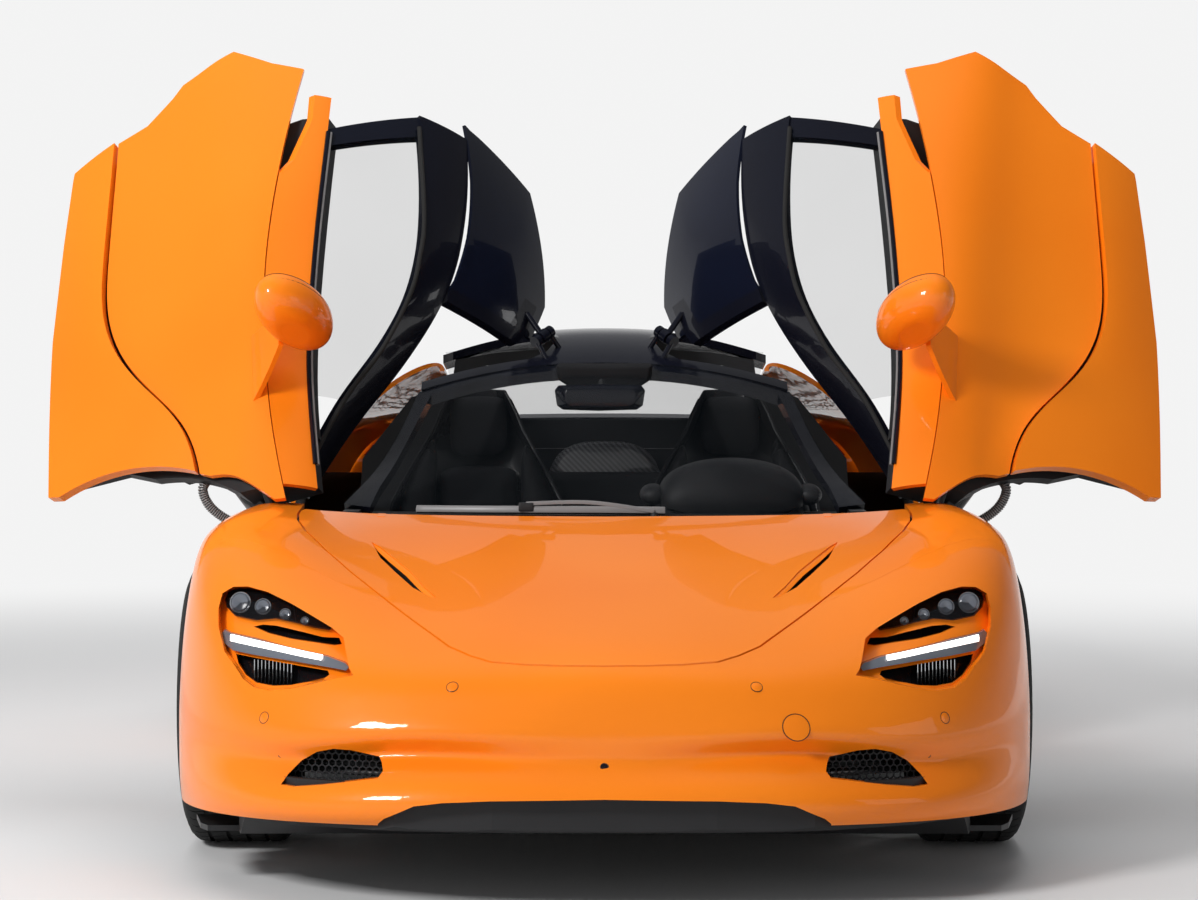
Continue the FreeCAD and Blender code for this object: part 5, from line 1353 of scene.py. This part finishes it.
@dataclass
class WheelDetails:
    """Grooved tyre, bolts, centre cap and valve of one wheel, and painted shade for its brake disc's holes.
    """

    side: Side
    axle: Axle

    # Pitches of the tread round a tyre, its ribs' edges as shares of the half width, their slant and depth
    PITCHES = 64
    RIBS = ((-0.48, -0.22), (-0.14, 0.14), (0.22, 0.48))
    SLANT = 0.55
    GROOVE = 6.5
    BLOCK_SHARE = 0.43
    BLOCK_DEPTH = 5.0

    # How far the rim's edge, the spokes' face, the valve and the brake disc lie inside the tyre's wall
    LIP_INSET = 18.0
    FACE_INSET = 52.0
    VALVE_INSET = 44.0
    DISC_INSET = 116.0

    # Radii of a row of the disc's holes, each hole's radius in metres, and the rows round the disc
    HOLES = (120, 136, 152, 168, 182)
    HOLE_RADIUS = 0.0034
    HOLE_ROWS = 18

    CAP = ((-0.004, 0.0004), (0.005, 0.0004), (0.006, 0.018), (0.0045, 0.026), (0.0, 0.028), (-0.004, 0.028))
    NUT = ((-0.003, 0.0004), (0.009, 0.0004), (0.0105, 0.005), (0.0095, 0.0085), (0.001, 0.0095),
           (-0.003, 0.0095))
    NUT_CIRCLE = 0.050
    LIP = ((-0.002, 0.0), (0.0016, 0.0), (0.0022, 0.006), (0.0016, 0.0115), (-0.002, 0.0115))

    def __post_init__(self) -> None:
        """Work out the names and places that the methods share."""
        self.label = f"{self.axle.name}_{self.side.label}"
        self.body = f"wheel_{self.label}"
        self.centre = self.side.at(*self.axle.place)
        self.half = self.axle.width / 2

    def spot(self, across: float, radius: float, angle: float) -> Vector:
        """Point of this wheel, in millimetres out from its middle and from its axis."""
        spoke = Vector((0, math.cos(angle), math.sin(angle)))
        return self.centre + (self.side.out * across + spoke * radius) / 1000

    def round(self, form: Form, name: str, finish: Finish, count: int, sharp: float) -> None:
        """Repeat a form round the wheel."""
        form.piece(f"{name}_{self.label}", finish, self.body, sharp=sharp, repeat=RingRepeater,
                   Count=count, Centre=self.centre, Axis=(1.0, 0.0, 0.0))

    def block(self, form: Form, stations: Sequence[tuple[float, float]]) -> None:
        """Add one tread block, through stations of place across and radius in millimetres."""
        pitch = 2 * math.pi / self.PITCHES
        shares = (-self.BLOCK_SHARE, 0.0, self.BLOCK_SHARE)
        rings = []
        for a, top in stations:
            lean = self.SLANT * pitch * a / self.half
            ring = [self.spot(a, top, lean + pitch * share) for share in shares]
            ring += [self.spot(a, top - self.BLOCK_DEPTH, lean + pitch * share) for share in shares[::-1]]
            rings.append(ring)
        form.loft(rings)

    def tread(self) -> None:
        """Slanted tread blocks round the tyre."""
        half, r = self.half, self.axle.radius - 0.4
        form = Form()
        for low, high in self.RIBS:
            self.block(form, ((low * half, r), (high * half, r)))
        for turn in (-1, 1):
            edge = ((0.56 * half, r), (half - 36, r - 0.6), (half - 26, r - 3.6), (half - 18, r - 9.5))
            self.block(form, [(turn * a, top) for a, top in edge])
        self.round(form, "tread_blocks", RUBBER, self.PITCHES, 25.0)

    def tyre(self) -> None:
        """Grooved tyre with rounded walls, which stands for the plain one."""
        half, r, bead = self.half, self.axle.radius, self.axle.rim + 0.4
        wall = [(17, bead), (8, bead + 10), (1.5, bead + 26), (0.3, bead + 38), (1.5, r - 40), (5, r - 30),
                (6, r - 27), (11, r - 17), (19, r - 11), (34, r - self.GROOVE - 1), (44, r - self.GROOVE)]
        outer = [((half - a) / 1000, b / 1000) for a, b in wall]
        form = Form().turn(self.centre, self.side.out, outer + [(-a, b) for a, b in outer[::-1]], 72)
        tyre = form.piece(f"tyre_{self.label}", RUBBER, self.body, sharp=28)
        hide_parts(f"tyre_{self.label}")

    def drillings(self) -> None:
        """Painted shade for the brake disc's cooling holes: thin dark discs on its outer face, not cut
        holes.
        """
        form = Form()
        for k, radius in enumerate(self.HOLES):
            middle = self.spot(self.half - self.DISC_INSET + 0.1, radius, 0.052 * k)
            hole = [middle + Vector((0, math.cos(a), math.sin(a))) * self.HOLE_RADIUS for a in turns(8)]
            # Each hole is painted shade: a thin dark disc laid on the disc's face.
            form.slab(hole, self.side.out * 0.0004)
        self.round(form, "disc_drillings", TRIM, self.HOLE_ROWS, 25.0)

    def build(self) -> None:
        """Make the tyre and the small parts of this wheel."""
        out = self.side.out
        self.tyre()
        self.tread()
        # Painted shade where the brake disc is drilled.
        self.drillings()
        plate = self.centre + out * (self.half - self.FACE_INSET + 4) / 1000
        cap = Form().turn(plate, out, self.CAP, 36)
        cap.piece("centre_cap_" + self.label, GLOSS_BLACK, self.body, "alloy")
        nut = Form().turn(plate + UP * self.NUT_CIRCLE, out, self.NUT, 6)
        self.round(nut, "wheel_bolts", STEEL, 5, 20.0)
        angle = math.radians(72)
        spoke = Vector((0, math.cos(angle), math.sin(angle)))
        stem = self.spot(self.half - self.VALVE_INSET, self.axle.rim - 26, angle)
        valve = [stem + (out * 0.014 - spoke * 0.006) * k for k in range(3)]
        Form().tube(valve, 0.0035, 8).piece("valve_" + self.label, TRIM, self.body)
        lip = [(a, (self.axle.rim - 12) / 1000 + b) for a, b in self.LIP]
        edge = self.centre + out * (self.half - self.LIP_INSET) / 1000
        Form().turn(edge, out, lip, 72).piece("rim_lip_" + self.label, ALLOY, self.body)


@dataclass
class ArchLiner:
    """Black liner of one wheel arch, up to the inside of the body's skin."""

    frame: dict
    side: Side
    axle: Axle

    # Start and end of the liner round the axle in degrees, its steps, hub hole and distance from the skin
    ENDS = (-14.0, 194.0)
    STEPS = 40
    HUB = 130.0
    MARGIN = 16.0

    def reach(self, skin: Skin, y: float, z: float) -> float:
        """How far out the liner goes at a place, in millimetres."""
        hits = [tree.ray_cast(self.side.at(1500, y, z), -self.side.out)[0] for tree in skin.trees]
        found = [abs(hit.x) * 1000 for hit in hits if hit is not None]
        reach = min(max(found, default=0.0) - self.MARGIN, self.axle.place[0] + 100)
        return max(reach, self.axle.arch_inside + 40)

    def build(self) -> None:
        """Make the liner."""
        skin = Skin(self.frame, *(f"{name}_{self.side.label}" for name in ("fender", "quarter")))
        _, y0, z0 = self.axle.place
        inside, radius = self.axle.arch_inside, self.axle.arch_radius
        rows = []
        for k in range(self.STEPS + 1):
            t = math.radians(self.ENDS[0] + (self.ENDS[1] - self.ENDS[0]) * k / self.STEPS)
            y, z = math.cos(t), math.sin(t)
            outer = self.reach(skin, y0 + (radius + 12) * y, z0 + (radius + 12) * z)
            spots = ((inside, self.HUB), (inside, radius), (outer, radius))
            rows.append([self.side.at(x, y0 + r * y, z0 + r * z) for x, r in spots])
        Form().sheet(rows).piece(f"arch_liner_{self.axle.name}_{self.side.label}", TRIM, wall=0.002)


@dataclass
class DoorDetails:
    """Mirror glass and seam, window seals, padded card, grab handle and loudspeaker of one raised door.

    Places are given as (x, y, z) on the closed left door, and lines along it as (y, x, z).
    """

    side: Side

    # Hinge line of the door and its turn from closed to open
    ROOF_HINGE = (163.0, 1053.0, 1172.0)
    FOOT_HINGE = (792.0, 316.0, 720.0)
    SWING = math.radians(81.4)

    BELT = ((440, 806, 833), (745, 806, 824), (1090, 792, 846), (1450, 771, 884))
    RAIL = ((500, 742, 800), (680, 690, 868), (826, 640, 952), (980, 610, 1022), (1090, 602, 1052),
            (1220, 598, 1070), (1500, 601, 1071))
    MIRROR_PLACE = (1009, 743, 907)
    MIRROR_RINGS = (("mirror_seam_", 20, 129.4, 74.2), ("mirror_bezel_", 43, 114.5, 62.5))

    # Place along the car, foot and top of the card's sections, its place across, lean, half thickness and
    # the share of its end sections, and the handle's line
    CARD = ((640, 470, 640), (700, 455, 690), (900, 450, 706), (1150, 450, 706), (1350, 456, 696),
            (1420, 470, 650))
    CARD_PLACE = 710
    CARD_LEAN = 0.03
    CARD_HALF = 16
    CARD_END = 0.7
    HANDLE = ((706, 800, 610), (676, 830, 612), (668, 920, 616), (672, 1010, 620), (700, 1040, 622))
    SPEAKER = ((702, 760, 520), (690, 760, 520))
    SPEAKER_SECTION = ((-0.004, 0.0005), (0.003, 0.0005), (0.006, 0.03), (0.006, 0.05), (0.009, 0.058),
                       (0.009, 0.066), (0.0, 0.070), (-0.004, 0.070))

    def place(self, x: float, y: float, z: float) -> Vector:
        """Point of the closed door, raised."""
        top, low = at(*self.ROOF_HINGE), at(*self.FOOT_HINGE)
        raised = top + Matrix.Rotation(self.SWING, 3, (low - top).normalized()) @ (at(x, y, z) - top)
        return Vector((raised.x * self.side.value, raised.y, raised.z))

    def seal(self, name: str, finish: Finish, stations: Sequence[Point], count: int, out: float, up: float,
             radius: float) -> None:
        """Round strip of trim along stations, moved outwards and upwards."""
        line = [self.place(x + out, y, z + up) for y, x, z in smooth_line(stations, count)]
        Form().tube(line, radius).piece(name + self.side.label, finish, "door_" + self.side.label, "trim")

    def oval(self, back: float, wide: float, high: float, count: int) -> list[Vector]:
        """Ring round the mirror's middle, a distance behind it, from its half axes."""
        x, y, z = self.MIRROR_PLACE
        return [self.place(x + wide * math.cos(t), y + back, z + high * math.sin(t)) for t in turns(count)]

    def build(self) -> None:
        """Make this door's details."""
        label, body = self.side.label, "door_" + self.side.label
        self.seal("belt_seal_", GLOSS_BLACK, self.BELT, 30, 1, 5, 0.006)
        self.seal("belt_strip_", SATIN, self.BELT, 30, -6, 9, 0.004)
        self.seal("rail_seal_", RUBBER, self.RAIL, 40, 4, -3, 0.006)
        glass = self.oval(43.5, 107, 57, 40)
        away = self.place(0, 2.5, 0) - self.place(0, 0, 0)
        Form().slab(glass, away).piece("mirror_glass_" + label, MIRROR, body)
        for name, offset, wide, high in self.MIRROR_RINGS:
            ring = self.oval(offset, wide, high, 48)
            Form().tube([*ring, ring[0]], 0.0016, 6).piece(name + label, TRIM, body)
        self.card(label, body)

    def card(self, label: str, body: str) -> None:
        """Padded inner card with its grab handle and loudspeaker."""
        rings = []
        for row in self.CARD:
            y, low, high = row
            size = self.CARD_END if row in (self.CARD[0], self.CARD[-1]) else 1.0
            x = self.CARD_PLACE - self.CARD_LEAN * (y - self.CARD[0][0])
            middle, half = (low + high) / 2, (high - low) / 2 * size
            rings.append(pad_ring(0.6, 0.5, lambda a, b: self.place(
                x + self.CARD_HALF * size * a, y, middle + half * b)))
        Upholstery().pad("door_card_" + label, rings, 0.7, LEATHER, body)
        handle = smooth_line([self.place(*point) for point in self.HANDLE], 24)
        Form().tube(handle, 0.011, 12).piece("grab_handle_" + label, SATIN, body)
        centre, ahead = (self.place(*point) for point in self.SPEAKER)
        speaker = Form().turn(centre, ahead - centre, self.SPEAKER_SECTION, 40)
        speaker.piece("loudspeaker_" + label, TRIM, body)


@dataclass
class TailDetails:
    """Mesh between the tail lamps, light strips and pipe tips."""

    frame: dict

    # Radius of a cell of the mesh in metres, its columns and rows, and how much the mesh bows forwards
    CELL = 0.0138
    COLUMNS = 47
    ROWS = 9
    BOW = 0.11
    MESH_PLACE = (3478, 568)

    # Place across and height of the lamps' line, with the share of each strip's rise above it there
    LAMP_LINE = ((330, 818, 1.0), (480, 806, 1.0), (640, 794, 1.0), (760, 784, 0.6))
    STRIPS = (("upper", 11), ("lower", -9))
    PIPE = (140, 3524, 660)
    TIP = ((-0.060, 0.0585), (-0.001, 0.0585), (0.0, 0.0600), (-0.001, 0.0635), (-0.060, 0.0635))

    def build(self) -> None:
        """Make the tail's details."""
        start = at(-(self.COLUMNS - 0.5) * self.CELL * PITCH * 500, *self.MESH_PLACE)
        across = Vector((1, 0, 0))
        honeycomb("tail_mesh", self.CELL, -0.006, start, across, self.COLUMNS, self.ROWS, self.BOW)
        skin = Skin(self.frame, "tail_lamps")
        for side in Side:
            for name, rise in self.STRIPS:
                line = [(x, z + rise * share) for x, z, share in self.LAMP_LINE]
                spots = [skin.hit(side.at(x, BEHIND_TAIL, z), -BACK) for x, z in smooth_line(line, 16)]
                path = [place + normal * 0.001 for place, normal in spots]
                Form().tube(path, 0.0035, 8).piece(f"tail_light_{name}_{side.label}", RED_LIGHT)
            Form().turn(side.at(*self.PIPE), BACK, self.TIP, 48).piece("pipe_tip_" + side.label, CHROME)


def dress(frame: dict) -> None:
    """Give every CAD node its material."""
    plain = (ORANGE, GLOSS_BLACK, TRIM, CARBON, WINDOW, LENS, RED_LENS, LEATHER, RUBBER, ALLOY, CAST, STEEL)
    by_slot = {finish.slot: finish for finish in plain} | {"light": CRYSTAL}
    slots = {row["node"]: row["material_slot"] for row in frame["record"]["subparts"]}
    by_name = {f"door_roof_glass_{side.label}": ROOF_GLASS for side in Side} | {"rear_wing": GLOSS_BLACK}
    for name, node in frame["nodes"].items():
        node.data.materials.clear()
        node.data.materials.append(by_name.get(name, by_slot[slots[name]]).material)


def main() -> None:
    """Build everything in order."""
    logging.basicConfig(level=logging.INFO, format="%(name)s: %(message)s")
    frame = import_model()
    Studio().build()
    dress(frame)
    FrontDetails(frame).build()
    Wiper().build()
    InnerMirror().build()
    Binnacle().build()
    CabinTrim(frame).build()
    TailDetails(frame).build()
    for side in Side:
        HoodVent(frame, side).build()
        Headlamp(frame, side).build()
        Seat(side).build()
        DoorDetails(side).build()
        DoorHinge(side).build()
        for axle in (FRONT_AXLE, REAR_AXLE):
            ArchLiner(frame, side, axle).build()
        for axle in (FRONT_AXLE, REAR_AXLE):
            WheelDetails(side, axle).build()


if __name__ == "__main__":
    main()
